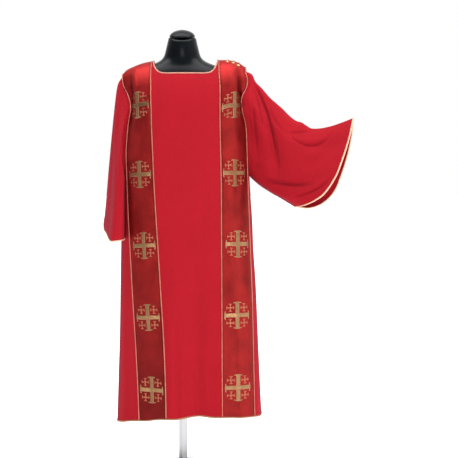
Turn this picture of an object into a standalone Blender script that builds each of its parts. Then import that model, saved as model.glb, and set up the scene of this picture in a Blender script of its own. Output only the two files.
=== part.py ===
"""Dalmatic on a limbless tailor's dress form. Blender 4.5, metres, +Z up.

The garment faces -Y, so +X is the wearer's left, whose sleeve is raised to the side. The origin is on the
floor under the pole. Each piece of cloth is a wall: a grid of points worked out from the sections below,
moved in and out along its normals. Bands, pipings and bindings are made from the points of the cloth that
they lie on, moved out.
"""

import math

import bmesh
import bpy
import numpy as np
from mathutils import Matrix, Vector
from mathutils.bvhtree import BVHTree
from mathutils.interpolate import poly_3d_calc

# ---- Driving sizes ----
CLOTH = 0.002  # thickness of the cloth's wall
SEAM_GAP = 0.0002  # each piece stops this short of a seam, so two pieces are 0.4 mm apart
LIFT = 0.0006  # between the cloth and what is sewn on it
BAND_THICK = 0.0012
PIPING_WIDTH = 0.0045
PIPING_HIGH = 0.0024
BINDING_WIDTH = 0.003
BINDING_HIGH = 0.0018
BINDING_LIFT = 0.0012
HEM_BINDING_WIDTH = 0.004
ARMHOLE_EDGE = 0.0085  # from the middle of the outer piping to the armhole seam
UNDERARM = 1.07  # height of the point where the side seam meets the sleeve
SHOULDER_DROP = 0.17  # how far below the shoulder line the cloth reaches its full depth
ARMHOLE_ROUND = (0.0, 0.06, 0.14, 0.28, 0.52, 0.76, 1.0)  # rows from the underarm to the chest
ARMHOLE_WIDTH = (1.0, 0.45, 0.16, 0.0, 0.0, 0.0, 0.0)  # share of the side that is cloth on those rows
SHOULDER_ROWS = 6
SKIRT_ROWS = 9
SLEEVE_STATIONS = (0.0, 0.07, 0.16, 0.27, 0.38, 0.49, 0.60, 0.71, 0.81, 0.91, 1.0)

POLE_RADIUS = 0.016
RAISED = 0.022  # of all but the stand, above the heights in the tables below
BASE_RADIUS = 0.18
BASE_THICK = 0.012
FORM_BOTTOM = 0.80
FORM_SIDES = 28
NECK_SLANT = math.radians(12)
NECK_TOP = 1.5715
CAP_HIGH = 0.0258
CAP_PROFILE = ((0, 1), (0.25, 0.968), (0.5, 0.866), (0.75, 0.661), (0.92, 0.392), (1, 0.12))
BUTTON_RADIUS = 0.0048
BUTTON_HALF = 0.0022
BUTTON_INSET = 0.0330
BUTTON_SPOTS = (0.163, 0.184, 0.203)  # across the wearer's left shoulder
SLIT_START = 0.0062  # the slit's bindings start this far from the neck's corner

RED = (0.55, 0.012, 0.022, 1)
DARK_RED = (0.36, 0.018, 0.022, 1)
GOLD = (0.72, 0.36, 0.16, 1)
PALE_GOLD = (0.80, 0.55, 0.36, 1)
BLACK = (0.012, 0.013, 0.015, 1)
STEEL = (0.30, 0.30, 0.31, 1)


def table(names, *rows):
    """Columns by name."""
    return dict(zip(names.split(), np.array(rows, float).T))


# Plan of the garment at each height. right and left are the sides' places in X, front and back the depths,
# and square is the power of the superellipse on each side: 2 is an ellipse, and more is squarer.
SECTIONS = table(
    "height right left front back square_right square_left",
    (0.10, -0.244, 0.293, 0.156, 0.152, 2.2, 3.9),
    (0.30, -0.237, 0.2825, 0.153, 0.148, 2.2, 3.7),
    (0.50, -0.230, 0.2735, 0.150, 0.144, 2.3, 3.4),
    (0.70, -0.226, 0.2645, 0.147, 0.140, 2.3, 3.0),
    (0.80, -0.224, 0.2575, 0.145, 0.138, 2.3, 2.9),
    (0.90, -0.222, 0.2535, 0.142, 0.136, 2.4, 2.7),
    (1.07, -0.221, 0.243, 0.137, 0.132, 2.4, 2.5),
    (1.20, -0.223, 0.243, 0.133, 0.130, 2.4, 2.4),
    (1.33, -0.225, 0.243, 0.126, 0.126, 2.4, 2.4),
    (1.42, -0.229, 0.246, 0.119, 0.119, 2.4, 2.4),
    (1.52, -0.236, 0.250, 0.118, 0.118, 2.4, 2.4),
)
# Places in X of the middles of the pipings, in front and behind.
LINES_FRONT = table(
    "height outer_right inner_right inner_left outer_left",
    (0.15, -0.151, -0.054, 0.146, 0.262),
    (0.32, -0.157, -0.056, 0.145, 0.258),
    (0.50, -0.166, -0.063, 0.144, 0.254),
    (0.63, -0.174, -0.071, 0.1435, 0.251),
    (0.81, -0.184, -0.082, 0.1425, 0.244),
    (0.92, -0.190, -0.089, 0.142, 0.240),
    (1.06, -0.195, -0.097, 0.141, 0.235),
    (1.16, -0.1975, -0.101, 0.139, 0.232),
    (1.25, -0.191, -0.105, 0.137, 0.228),
    (1.33, -0.184, -0.107, 0.137, 0.2135),
    (1.365, -0.193, -0.108, 0.137, 0.2195),
    (1.39, -0.207, -0.108, 0.137, 0.231),
    (1.42, -0.214, -0.109, 0.135, 0.2335),
    (1.44, -0.2145, -0.1095, 0.1335, 0.2285),
    (1.50, -0.2145, -0.1095, 0.133, 0.2285),
)
LINES_BACK = table(
    "height outer_right inner_right inner_left outer_left",
    (0.15, -0.190, -0.084, 0.138, 0.248),
    (0.50, -0.192, -0.090, 0.137, 0.243),
    (0.81, -0.194, -0.098, 0.136, 0.238),
    (1.06, -0.198, -0.104, 0.136, 0.232),
    (1.16, -0.200, -0.107, 0.136, 0.230),
    (1.25, -0.199, -0.108, 0.136, 0.228),
    (1.33, -0.199, -0.109, 0.136, 0.224),
    (1.39, -0.208, -0.109, 0.135, 0.228),
    (1.42, -0.213, -0.109, 0.134, 0.229),
    (1.44, -0.2145, -0.1095, 0.1335, 0.2285),
    (1.50, -0.2145, -0.1095, 0.133, 0.2285),
)
SHOULDER_LINE = table(
    "x height",
    (-0.240, 1.420),
    (-0.2124, 1.4395),
    (-0.2011, 1.4500),
    (-0.1761, 1.4630),
    (-0.1485, 1.4740),
    (-0.1040, 1.4840),
    (-0.0500, 1.4930),
    (0.0100, 1.4960),
    (0.0700, 1.4930),
    (0.1280, 1.4874),
    (0.1759, 1.4853),
    (0.1976, 1.4795),
    (0.2211, 1.4655),
    (0.2380, 1.4545),
    (0.2500, 1.4450),
)
# The neck's edge, from the wearer's right to left: its first and last rows are on the shoulder line.
NECK = table(
    "x front back",
    (-0.1005, 1.4840, 1.4840),
    (-0.0992, 1.4800, 1.4815),
    (-0.0962, 1.4700, 1.4760),
    (-0.0885, 1.4540, 1.4670),
    (-0.0770, 1.4430, 1.4600),
    (-0.0600, 1.4390, 1.4570),
    (-0.0250, 1.4388, 1.4560),
    (0.0120, 1.4387, 1.4555),
    (0.0490, 1.4388, 1.4560),
    (0.0840, 1.4392, 1.4570),
    (0.1010, 1.4430, 1.4600),
    (0.1130, 1.4550, 1.4690),
    (0.1212, 1.4735, 1.4795),
    (0.1240, 1.4836, 1.4850),
    (0.1250, 1.4874, 1.4874),
)
HEM = table(
    "x front back",
    (-0.250, 0.170, 0.170),
    (-0.207, 0.183, 0.181),
    (-0.164, 0.1925, 0.189),
    (-0.122, 0.1955, 0.1945),
    (-0.079, 0.2036, 0.1985),
    (-0.037, 0.2060, 0.2000),
    (-0.015, 0.2056, 0.2005),
    (0.006, 0.2090, 0.2015),
    (0.048, 0.2143, 0.2035),
    (0.070, 0.2151, 0.2045),
    (0.112, 0.2112, 0.2045),
    (0.134, 0.2111, 0.2035),
    (0.176, 0.2115, 0.2040),
    (0.219, 0.2095, 0.2040),
    (0.261, 0.2075, 0.2045),
    (0.292, 0.2030, 0.2030),
)
# Folds of a panel, as seen square on. Each runs from its start to its end in X and Z, with its middle bowed
# sideways, and is pressed in by its depth, or raised where the depth is negative.
FOLD_COLUMNS = "start_x start_z end_x end_z bow width depth"
FRONT_FOLDS = table(
    FOLD_COLUMNS,
    (-0.187, 1.470, -0.181, 1.315, 0.012, 0.015, 0.015),
    (-0.176, 1.390, -0.199, 1.160, 0.000, 0.018, 0.012),
    (0.2000, 1.470, 0.2125, 1.315, -0.004, 0.015, 0.015),
    (0.2060, 1.390, 0.2340, 1.160, 0.000, 0.018, 0.012),
    (0.0680, -0.350, 0.0500, 0.820, 0.000, 0.030, 0.012),
    (-0.0480, -0.420, -0.0300, 0.900, 0.000, 0.034, -0.010),
)
BACK_FOLDS = table(
    FOLD_COLUMNS,
    (-0.185, 1.470, -0.190, 1.290, 0.010, 0.018, 0.012),
    (0.205, 1.470, 0.214, 1.290, -0.006, 0.018, 0.012),
    (-0.035, -0.400, -0.020, 0.950, 0.000, 0.034, 0.013),
    (0.060, -0.350, 0.045, 0.860, 0.000, 0.032, -0.012),
)
# The raised sleeve: its folded top, the seam under the arm, and the two halves of its cuff.
LEFT_TOP = table(
    "x y z",
    (0.2500, -0.002, 1.4385),
    (0.2637, -0.006, 1.4118),
    (0.2872, -0.012, 1.3868),
    (0.3170, -0.021, 1.3520),
    (0.3391, -0.030, 1.3320),
    (0.3600, -0.037, 1.3133),
    (0.3811, -0.043, 1.2915),
    (0.4024, -0.050, 1.2732),
    (0.4140, -0.054, 1.2666),
    (0.4287, -0.060, 1.2628),
    (0.4445, -0.065, 1.2517),
    (0.4619, -0.072, 1.2416),
    (0.4870, -0.082, 1.2402),
    (0.5290, -0.098, 1.2478),
    (0.5740, -0.118, 1.2630),
    (0.6080, -0.135, 1.2765),
)
LEFT_SEAM = table(
    "x y z",
    (0.2780, -0.010, 1.0390),
    (0.3200, -0.025, 1.0115),
    (0.3580, -0.042, 0.9893),
    (0.3860, -0.055, 0.9725),
    (0.4060, -0.068, 0.9605),
)
LEFT_CUFF_FRONT = table(
    "x y z",
    (0.5970, -0.165, 1.2310),
    (0.5820, -0.178, 1.1780),
    (0.5630, -0.186, 1.1230),
    (0.5450, -0.190, 1.0770),
    (0.5220, -0.188, 1.0370),
    (0.5000, -0.180, 1.0080),
    (0.4670, -0.160, 0.9830),
    (0.4350, -0.125, 0.9680),
)
LEFT_CUFF_BACK = table(
    "x y z",
    (0.6060, -0.112, 1.2200),
    (0.5960, -0.092, 1.1580),
    (0.5810, -0.076, 1.1000),
    (0.5700, -0.066, 1.0650),
    (0.5560, -0.060, 1.0280),
    (0.5320, -0.056, 0.9930),
    (0.5000, -0.055, 0.9680),
    (0.4600, -0.058, 0.9550),
)
LEFT_FRONT_FOLDS = table(
    FOLD_COLUMNS,
    (0.2440, 1.440, 0.3440, 1.050, -0.022, 0.022, 0.020),
    (0.2400, 1.400, 0.2700, 1.130, 0.000, 0.016, 0.008),
    (0.3850, 1.220, 0.5900, 1.260, 0.060, 0.022, 0.012),
    (0.2700, 1.085, 0.5000, 1.080, 0.040, 0.022, 0.012),
)
LEFT_BACK_FOLDS = table(
    FOLD_COLUMNS,
    (0.2500, 1.430, 0.3700, 1.030, -0.020, 0.024, 0.018),
    (0.3700, 1.230, 0.5800, 1.240, 0.055, 0.024, 0.012),
)
# The hanging sleeve, in the same way. Its seam lies by the side of the body.
RIGHT_TOP = table(
    "x y z",
    (-0.2304, 0.000, 1.4074),
    (-0.2380, 0.000, 1.3768),
    (-0.2425, 0.000, 1.3425),
    (-0.2485, 0.000, 1.2915),
    (-0.2668, 0.000, 1.1100),
    (-0.2840, 0.000, 0.9282),
    (-0.2888, 0.000, 0.8890),
    (-0.2875, 0.000, 0.8760),
)
RIGHT_SEAM = table(
    "x y z",
    (-0.2270, 0.000, 1.0400),
    (-0.2310, 0.000, 0.9900),
    (-0.2325, 0.000, 0.9200),
    (-0.2325, 0.000, 0.8480),
)
RIGHT_CUFF_FRONT = table(
    "x y z",
    (-0.2800, -0.030, 0.8690),
    (-0.2720, -0.057, 0.8625),
    (-0.2610, -0.095, 0.8470),
    (-0.2500, -0.129, 0.8400),
    (-0.2385, -0.147, 0.8400),
    (-0.2260, -0.150, 0.8425),
    (-0.2165, -0.132, 0.8445),
    (-0.2170, -0.080, 0.8465),
)
RIGHT_CUFF_BACK = table(
    "x y z",
    (-0.2840, 0.055, 0.8630),
    (-0.2760, 0.105, 0.8500),
    (-0.2660, 0.142, 0.8430),
    (-0.2500, 0.160, 0.8410),
    (-0.2330, 0.152, 0.8420),
    (-0.2230, 0.118, 0.8440),
    (-0.2220, 0.066, 0.8460),
)
RIGHT_FRONT_FOLDS = table(
    FOLD_COLUMNS,
    (-0.226, 1.340, -0.262, 0.980, 0.004, 0.012, 0.008),
)
RIGHT_BACK_FOLDS = table(
    FOLD_COLUMNS,
    (-0.226, 1.360, -0.268, 0.990, 0.004, 0.014, 0.010),
)
# The dress form, from its hips to its neck.
FORM = table(
    "height half_width front back",
    (0.806, 0.148, 0.098, 0.103),
    (0.830, 0.160, 0.107, 0.112),
    (0.900, 0.165, 0.107, 0.114),
    (1.000, 0.154, 0.100, 0.098),
    (1.070, 0.150, 0.098, 0.092),
    (1.180, 0.160, 0.106, 0.098),
    (1.280, 0.174, 0.108, 0.100),
    (1.350, 0.182, 0.102, 0.096),
    (1.400, 0.184, 0.091, 0.088),
    (1.430, 0.178, 0.081, 0.080),
    (1.448, 0.166, 0.073, 0.074),
    (1.459, 0.148, 0.067, 0.069),
    (1.468, 0.126, 0.062, 0.065),
    (1.477, 0.100, 0.059, 0.062),
    (1.487, 0.079, 0.057, 0.060),
    (1.500, 0.067, 0.055, 0.058),
    (1.515, 0.0625, 0.0545, 0.057),
    (1.530, 0.0592, 0.0535, 0.0555),
)


# ---- Curves ----
def smooth(at, knots, values):
    """Cubic curve through a table's values, whose tangents are those of the neighbouring values."""
    at = np.clip(np.asarray(at, float), knots[0], knots[-1])
    values = np.asarray(values, float)
    tangents = np.gradient(values, knots, axis=0)
    i = np.clip(np.searchsorted(knots, at, side="right") - 1, 0, len(knots) - 2)
    width = knots[i + 1] - knots[i]
    t = (at - knots[i]) / width
    if values.ndim > 1:
        t, width = t[..., None], width[..., None]
    return (
        (2 * t**3 - 3 * t**2 + 1) * values[i]
        + (t**3 - 2 * t**2 + t) * width * tangents[i]
        + (3 * t**2 - 2 * t**3) * values[i + 1]
        + (t**3 - t**2) * width * tangents[i + 1]
    )


def shares(points):
    """How far along a line of points each is, from 0 to 1."""
    steps = np.linalg.norm(np.diff(points, axis=0), axis=1)
    along = np.concatenate([[0], np.cumsum(steps)])
    return along / along[-1]


def along(points, at):
    """The places at these shares of the length of a smooth line through the points."""
    return smooth(at, shares(points), points)


def rows_of(columns):
    return np.stack([columns["x"], columns["y"], columns["z"]], axis=1)


# ---- Panels ----
LINE_NAMES = ("outer_right", "inner_right", "inner_left", "outer_left")
LINE_NUMBERS = (-3, -2, -1, 1, 2, 3)  # the right side seam, the four pipings, and the left side seam


def column_list():
    """Columns of a panel, from the right side seam to the left: a line's number and an offset from it."""
    half = PIPING_WIDTH / 2
    right = [(-3, 0), (-2.5, 0), (-2, -0.0036), (-2, -half), (-2, half)]
    right += [(-1.75, 0), (-1.5, 0), (-1.25, 0), (-1, -half), (-1, half)]
    left = [(-line, -offset) for line, offset in reversed(right)]
    first = LINES_FRONT["inner_right"][-1] + half
    last = LINES_FRONT["inner_left"][-1] - half
    middle = [(-1 + 2 * (x - first) / (last - first), 0) for x in NECK["x"]]
    return right + middle + left


COLUMNS = column_list()
NECK_START = 10
NECK_STOP = NECK_START + len(NECK["x"]) - 1
SLIT_END = NECK_STOP + 6  # the slit runs from the neck to this column, the inner edge of the outer piping


def plan(face, height, columns):
    """X and depth of the panel's columns at a height, without the closing of the shoulders."""
    row = {name: float(smooth(height, SECTIONS["height"], SECTIONS[name])) for name in SECTIONS}
    lines = LINES_FRONT if face == "front" else LINES_BACK
    middle, half = (row["left"] + row["right"]) / 2, (row["left"] - row["right"]) / 2
    turn = np.sin(np.linspace(-math.pi / 2, math.pi / 2, 121))
    square = np.where(turn < 0, row["square_right"], row["square_left"])
    depth = row[face] * (1 - np.abs(turn) ** square) ** (1 / square)
    x = middle + half * turn
    length = np.concatenate([[0], np.cumsum(np.hypot(np.diff(x), np.diff(depth)))])
    places = [float(smooth(height, lines["height"], lines[name])) for name in LINE_NAMES]
    stops = np.interp([row["right"], *places, row["left"]], x, length)
    wanted = [np.interp(line, LINE_NUMBERS, stops) + offset for line, offset in columns]
    return np.interp(wanted, length, x), np.interp(wanted, length, depth)


def open_side(columns, share):
    """The columns of a row beside the armhole, whose two at each side draw in to the armhole seam."""
    drawn = list(columns)
    for side, first, second in ((-1, 1, 0), (1, len(columns) - 2, len(columns) - 1)):
        edge = (2 * side, side * ARMHOLE_EDGE)
        middle = (2 * side, side * (ARMHOLE_EDGE + 0.0036) / 2)
        drawn[second] = (edge[0] + side * share, edge[1] * (1 - share))
        drawn[first] = (middle[0] + side * share / 2, middle[1] * (1 - share))
    return drawn


def fold_depth(folds, x, z):
    """How far the folds of a table press the cloth in at each place."""
    total = np.zeros(np.shape(x))
    for k in range(len(folds["depth"])):
        start = np.array([folds["start_x"][k], folds["start_z"][k]])
        run = np.array([folds["end_x"][k], folds["end_z"][k]]) - start
        size = np.linalg.norm(run)
        ahead, aside = run / size, np.array([run[1], -run[0]]) / size
        t = ((x - start[0]) * ahead[0] + (z - start[1]) * ahead[1]) / size
        off = (x - start[0]) * aside[0] + (z - start[1]) * aside[1]
        inside = np.clip(t, 0, 1)
        off = off - 4 * folds["bow"][k] * inside * (1 - inside)
        taper = np.sin(math.pi * inside) ** 0.8
        total += folds["depth"][k] * taper * np.exp(-((off / folds["width"][k]) ** 2))
    return total


def panel(face):
    """Grid of a panel's points, from the hem up to the shoulder seams and the neck."""
    side = -1 if face == "front" else 1
    heights = np.linspace(0.10, 1.50, 281)
    full = [plan(face, h, COLUMNS) for h in heights]
    plan_x = np.array([p[0] for p in full])
    plan_depth = np.array([p[1] for p in full])
    grid, press = [], []

    def place(levels, x, depth, turn):
        """One row: turn is the angle round the shoulder, and 90 degrees where the depth is full."""
        grid.append(np.stack([x, side * depth * np.sin(turn), levels], axis=1))

    def at(levels):
        x = [np.interp(z, heights, plan_x[:, c]) for c, z in enumerate(levels)]
        depth = [np.interp(z, heights, plan_depth[:, c]) for c, z in enumerate(levels)]
        return np.array(x), np.array(depth)

    count = len(COLUMNS)
    upright = np.full(count, math.pi / 2)
    hem_x = plan_x[np.searchsorted(heights, 0.2)]
    hem = smooth(hem_x, HEM["x"], HEM[face])
    for share in np.linspace(0, 1, SKIRT_ROWS + 1)[:-1]:
        levels = hem + share * (UNDERARM - hem)
        place(levels, *at(levels), upright)
    top_x = plan_x[np.searchsorted(heights, 1.46)]
    line = smooth(top_x, SHOULDER_LINE["x"], SHOULDER_LINE["height"])
    chest = line - SHOULDER_DROP
    for share, cloth in zip(ARMHOLE_ROUND, ARMHOLE_WIDTH):
        levels = UNDERARM + share * (chest - UNDERARM)
        x, depth = np.empty(count), np.empty(count)
        for c, z in enumerate(levels):
            row_x, row_depth = plan(face, z, open_side(COLUMNS, cloth))
            x[c], depth[c] = row_x[c], row_depth[c]
        place(levels, x, depth, upright)
    top = line.copy()
    top[NECK_START : NECK_STOP + 1] = NECK[face]
    turn_top = np.arccos(np.clip(1 - (line - top) / SHOULDER_DROP, -1, 1))
    turn_top[[NECK_START, NECK_STOP]] = 0
    for step in range(1, SHOULDER_ROWS + 1):
        turn = upright + (turn_top - upright) * step / SHOULDER_ROWS
        levels = line - SHOULDER_DROP * (1 - np.cos(turn))
        x, depth = np.empty(count), np.empty(count)
        for c, z in enumerate(levels):
            row_x, row_depth = plan(face, z, open_side(COLUMNS, 0))
            x[c], depth[c] = row_x[c], row_depth[c]
        place(levels, x, depth, turn)
    return np.array(grid)


def creased(points, folds, face):
    """The points with the folds pressed in square on, but for the shoulder seams and side seams."""
    free = np.clip(np.abs(points[..., 1]) / 0.05, 0, 1)
    free = free * free * (3 - 2 * free)
    depth = fold_depth(folds, points[..., 0], points[..., 2]) * free
    pressed = points.copy()
    pressed[..., 1] += depth if face == "front" else -depth
    return pressed


# ---- Sleeves ----
def patch(armhole, top, seam, cuff, stations):
    """Coons patch between four smooth lines. armhole and cuff run from the top to the seam."""
    t = shares(armhole)
    cuff = along(cuff, t)
    top, seam = along(top, stations), along(seam, stations)
    s, t = stations[:, None, None], t[None, :, None]
    return (
        (1 - s) * armhole[None] + s * cuff[None] + (1 - t) * top[:, None] + t * seam[:, None]
        - (1 - s) * ((1 - t) * armhole[0] + t * armhole[-1])
        - s * ((1 - t) * cuff[0] + t * cuff[-1])
    )


def sleeve(front, back, column, top, seam, cuff_front, cuff_back, front_folds, back_folds):
    """Rings of a sleeve, from the armhole edge of the two panels to the cuff."""
    rows = slice(SKIRT_ROWS, None)
    stations = np.array(SLEEVE_STATIONS)
    layers = []
    for edge, cuff, folds in ((front, cuff_front, front_folds), (back, cuff_back, back_folds)):
        armhole = edge[rows, column][::-1]
        upper = np.vstack([armhole[:1], rows_of(top)])
        lower = np.vstack([armhole[-1:], rows_of(seam)])
        end = np.vstack([upper[-1:], rows_of(cuff), lower[-1:]])
        layer = patch(armhole, upper, lower, end, stations)
        middle = np.sin(math.pi * shares(armhole)) ** 0.5
        free = np.clip(stations / 0.12, 0, 1)[:, None] * middle[None]
        away = np.array([0, 1 if edge is front else -1, 0])
        press = fold_depth(folds, layer[..., 0], layer[..., 2]) * free
        layers.append(layer + press[..., None] * away)
    return np.concatenate([layers[0], layers[1][:, -2:0:-1]], axis=1)


# ---- Grids as cloth ----
def grid_faces(rows, columns, closed, turned):
    """Triangles of a grid, all split along the same diagonal."""
    faces = []
    for r in range(rows - 1):
        for c in range(columns if closed else columns - 1):
            d = (c + 1) % columns
            a, b, e, f = r * columns + c, r * columns + d, (r + 1) * columns + d, (r + 1) * columns + c
            faces += [(a, e, b), (a, f, e)] if turned else [(a, b, e), (a, e, f)]
    return np.array(faces)


class Cloth:
    """A grid of points. turned is set where rows by columns would face inwards."""

    def __init__(self, points, closed=False, turned=False):
        self.points, self.closed, self.turned = points, closed, turned
        self.normals = np.zeros_like(points)

    def faces(self):
        return grid_faces(*self.points.shape[:2], self.closed, self.turned)

    def part(self, rows, columns):
        """The same points and normals over some of the rows and columns."""
        piece = Cloth(self.points[rows, columns].copy(), False, self.turned)
        piece.normals = self.normals[rows, columns].copy()
        return piece


def join_normals(cloths):
    """Gives every point its normal. Where pieces meet at a seam they get the same one, so that their walls
    are mitred."""
    total = {}
    keys = []
    for cloth in cloths:
        flat = cloth.points.reshape(-1, 3)
        faces = cloth.faces()
        a, b, c = flat[faces[:, 0]], flat[faces[:, 1]], flat[faces[:, 2]]
        cross = np.cross(b - a, c - a)
        weight = cross / np.maximum(np.linalg.norm(cross, axis=1, keepdims=True), 1e-12) ** 0.5
        names = [tuple(p) for p in np.round(flat, 6)]
        keys.append(names)
        for face, push in zip(faces, weight):
            for corner in face:
                total[names[corner]] = total.get(names[corner], 0) + push
    for cloth, names in zip(cloths, keys):
        normals = np.array([total[name] for name in names])
        normals /= np.linalg.norm(normals, axis=1, keepdims=True)
        cloth.normals = normals.reshape(cloth.points.shape)


def drawn_back(cloth, edges):
    """The points with each named edge moved in by a distance, square to its normals."""
    points = cloth.points.copy()
    views = {
        "bottom": (np.s_[0], np.s_[1]),
        "top": (np.s_[-1], np.s_[-2]),
        "first": (np.s_[:, 0], np.s_[:, 1]),
        "last": (np.s_[:, -1], np.s_[:, -2]),
    }
    for name, distance in edges.items():
        edge, inner = views[name]
        move = points[inner] - points[edge]
        normal = cloth.normals[edge]
        move -= (move * normal).sum(-1, keepdims=True) * normal
        move /= np.linalg.norm(move, axis=-1, keepdims=True)
        points[edge] += move * distance
    return points


def wall(cloth, points, low, high, narrow=0.0):
    """Vertices and faces of a closed wall, from low to high above the points. narrow draws in its top."""
    outer = points + cloth.normals * high
    if narrow:
        across = points[:, -1:] - points[:, :1]
        across /= np.linalg.norm(across, axis=-1, keepdims=True)
        outer[:, :1] += across * narrow
        outer[:, -1:] -= across * narrow
    inner = points + cloth.normals * low
    rows, columns = points.shape[:2]
    count = rows * columns
    top = grid_faces(rows, columns, cloth.closed, cloth.turned)
    faces = [tuple(f) for f in top] + [tuple(f[::-1] + count) for f in top]
    index = np.arange(count).reshape(rows, columns)
    if cloth.closed:
        rims = [np.append(index[0], index[0, 0]), np.append(index[-1, ::-1], index[-1, -1])]
    else:
        around = [index[0, :-1], index[:-1, -1], index[-1, :0:-1], index[::-1, 0]]
        rims = [np.concatenate(around)]
    for rim in rims:
        for a, b in zip(rim[:-1], rim[1:]):
            quad = (a, a + count, b + count, b)
            faces.append(quad[::-1] if cloth.turned else quad)
    return np.concatenate([outer.reshape(-1, 3), inner.reshape(-1, 3)]), faces


# ---- Blender objects ----
def material(name, colour, roughness, metallic=0.0):
    made = bpy.data.materials.get(name) or bpy.data.materials.new(name)
    made.use_nodes = True
    shader = made.node_tree.nodes["Principled BSDF"]
    shader.inputs["Base Color"].default_value = colour
    shader.inputs["Roughness"].default_value = roughness
    shader.inputs["Metallic"].default_value = metallic
    made.diffuse_color = colour
    return made


def add_object(collection, name, vertices, faces, look):
    mesh = bpy.data.meshes.new(name)
    mesh.from_pydata([tuple(map(float, v)) for v in vertices], [], [tuple(map(int, f)) for f in faces])
    shape = bmesh.new()
    shape.from_mesh(mesh)
    bmesh.ops.remove_doubles(shape, verts=shape.verts, dist=1e-6)
    bmesh.ops.triangulate(shape, faces=[f for f in shape.faces if len(f.verts) > 3])
    bmesh.ops.recalc_face_normals(shape, faces=shape.faces)
    shape.to_mesh(mesh)
    shape.free()
    mesh.materials.append(look)
    made = bpy.data.objects.new(name, mesh)
    collection.objects.link(made)
    return made


def nearest(cloths, spots):
    """The nearest points of the cloths, and the normals there."""
    flat = np.concatenate([cloth.points.reshape(-1, 3) for cloth in cloths])
    normals = np.concatenate([cloth.normals.reshape(-1, 3) for cloth in cloths])
    starts = np.cumsum([0] + [cloth.normals[..., 0].size for cloth in cloths])
    faces = np.concatenate([cloth.faces() + start for cloth, start in zip(cloths, starts)])
    tree = BVHTree.FromPolygons([Vector(p) for p in flat], [tuple(map(int, f)) for f in faces])
    found, turned = [], []
    for spot in spots:
        place, _, index, _ = tree.find_nearest(Vector(spot))
        corners = faces[index]
        weights = np.array(poly_3d_calc([Vector(p) for p in flat[corners]], place))
        normal = weights @ normals[corners]
        found.append(place)
        turned.append(normal / np.linalg.norm(normal))
    return np.array(found), np.array(turned)


def halved(line, closed):
    """A line of points or normals, with one more half way between each two."""
    ends = np.roll(line, -1, axis=0)
    both = np.stack([line, (line + ends) / 2], axis=1).reshape(-1, 3)
    return both if closed else both[:-1]


def strip(name, collection, look, cloths, edge, normals, closed, flip, width, high):
    """A binding of that width along an edge, lying on the cloths and flush with their edge."""
    edge, normals = halved(edge, closed), halved(normals, closed)
    ahead = np.roll(edge, -1, axis=0) - np.roll(edge, 1, axis=0)
    if not closed:
        ahead[0], ahead[-1] = edge[1] - edge[0], edge[-1] - edge[-2]
    inward = np.cross(normals, ahead) * (-1 if flip else 1)
    inward /= np.linalg.norm(inward, axis=1, keepdims=True)
    inner, inner_normals = nearest(cloths, edge + inward * width)
    points = np.stack([edge, inner])
    cloth = Cloth(points, closed, flip)
    cloth.normals = np.stack([normals, inner_normals])
    low = CLOTH / 2 + BINDING_LIFT
    return add_object(collection, name, *wall(cloth, points, low, low + high), look)


def add_cloth(collection, panels, sleeves):
    red = material("plain red cloth", RED, 0.85)
    half = CLOTH / 2
    sides = {"top": SEAM_GAP, "first": SEAM_GAP, "last": SEAM_GAP}
    for face, cloth in panels.items():
        points = drawn_back(cloth, sides)
        add_object(collection, face, *wall(cloth, points, -half, half), red)
    for name, cloth in sleeves.items():
        points = drawn_back(cloth, {"bottom": SEAM_GAP})
        add_object(collection, name, *wall(cloth, points, -half, half), red)


def add_bands(collection, panels):
    satin = material("dark red satin", DARK_RED, 0.55)
    gold = material("gold piping", GOLD, 0.45, 0.4)
    low = CLOTH / 2 + LIFT
    hem_end = HEM_BINDING_WIDTH + 2 * SEAM_GAP
    for face, cloth in panels.items():
        for side, first, last in (("right", 4, 8), ("left", NECK_STOP + 2, SLIT_END)):
            slit_end = BINDING_WIDTH + 2 * SEAM_GAP if side == "left" else SEAM_GAP
            band = cloth.part(np.s_[:], np.s_[first : last + 1])
            ends = {"bottom": hem_end, "top": slit_end, "first": SEAM_GAP, "last": SEAM_GAP}
            shape = wall(band, drawn_back(band, ends), low, low + BAND_THICK)
            add_object(collection, f"band_{face}_{side}", *shape, satin)
            edges = {"inner": last, "outer": first - 1} if side == "right" else {
                "inner": first - 1, "outer": last
            }
            for line, column in edges.items():
                cord = cloth.part(np.s_[:], np.s_[column : column + 2])
                top_end = slit_end if line == "inner" else SEAM_GAP
                shape = wall(
                    cord, drawn_back(cord, {"bottom": hem_end, "top": top_end}),
                    low, low + PIPING_HIGH, narrow=PIPING_WIDTH / 5,
                )
                add_object(collection, f"piping_{face}_{side}_{line}", *shape, gold)


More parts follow.
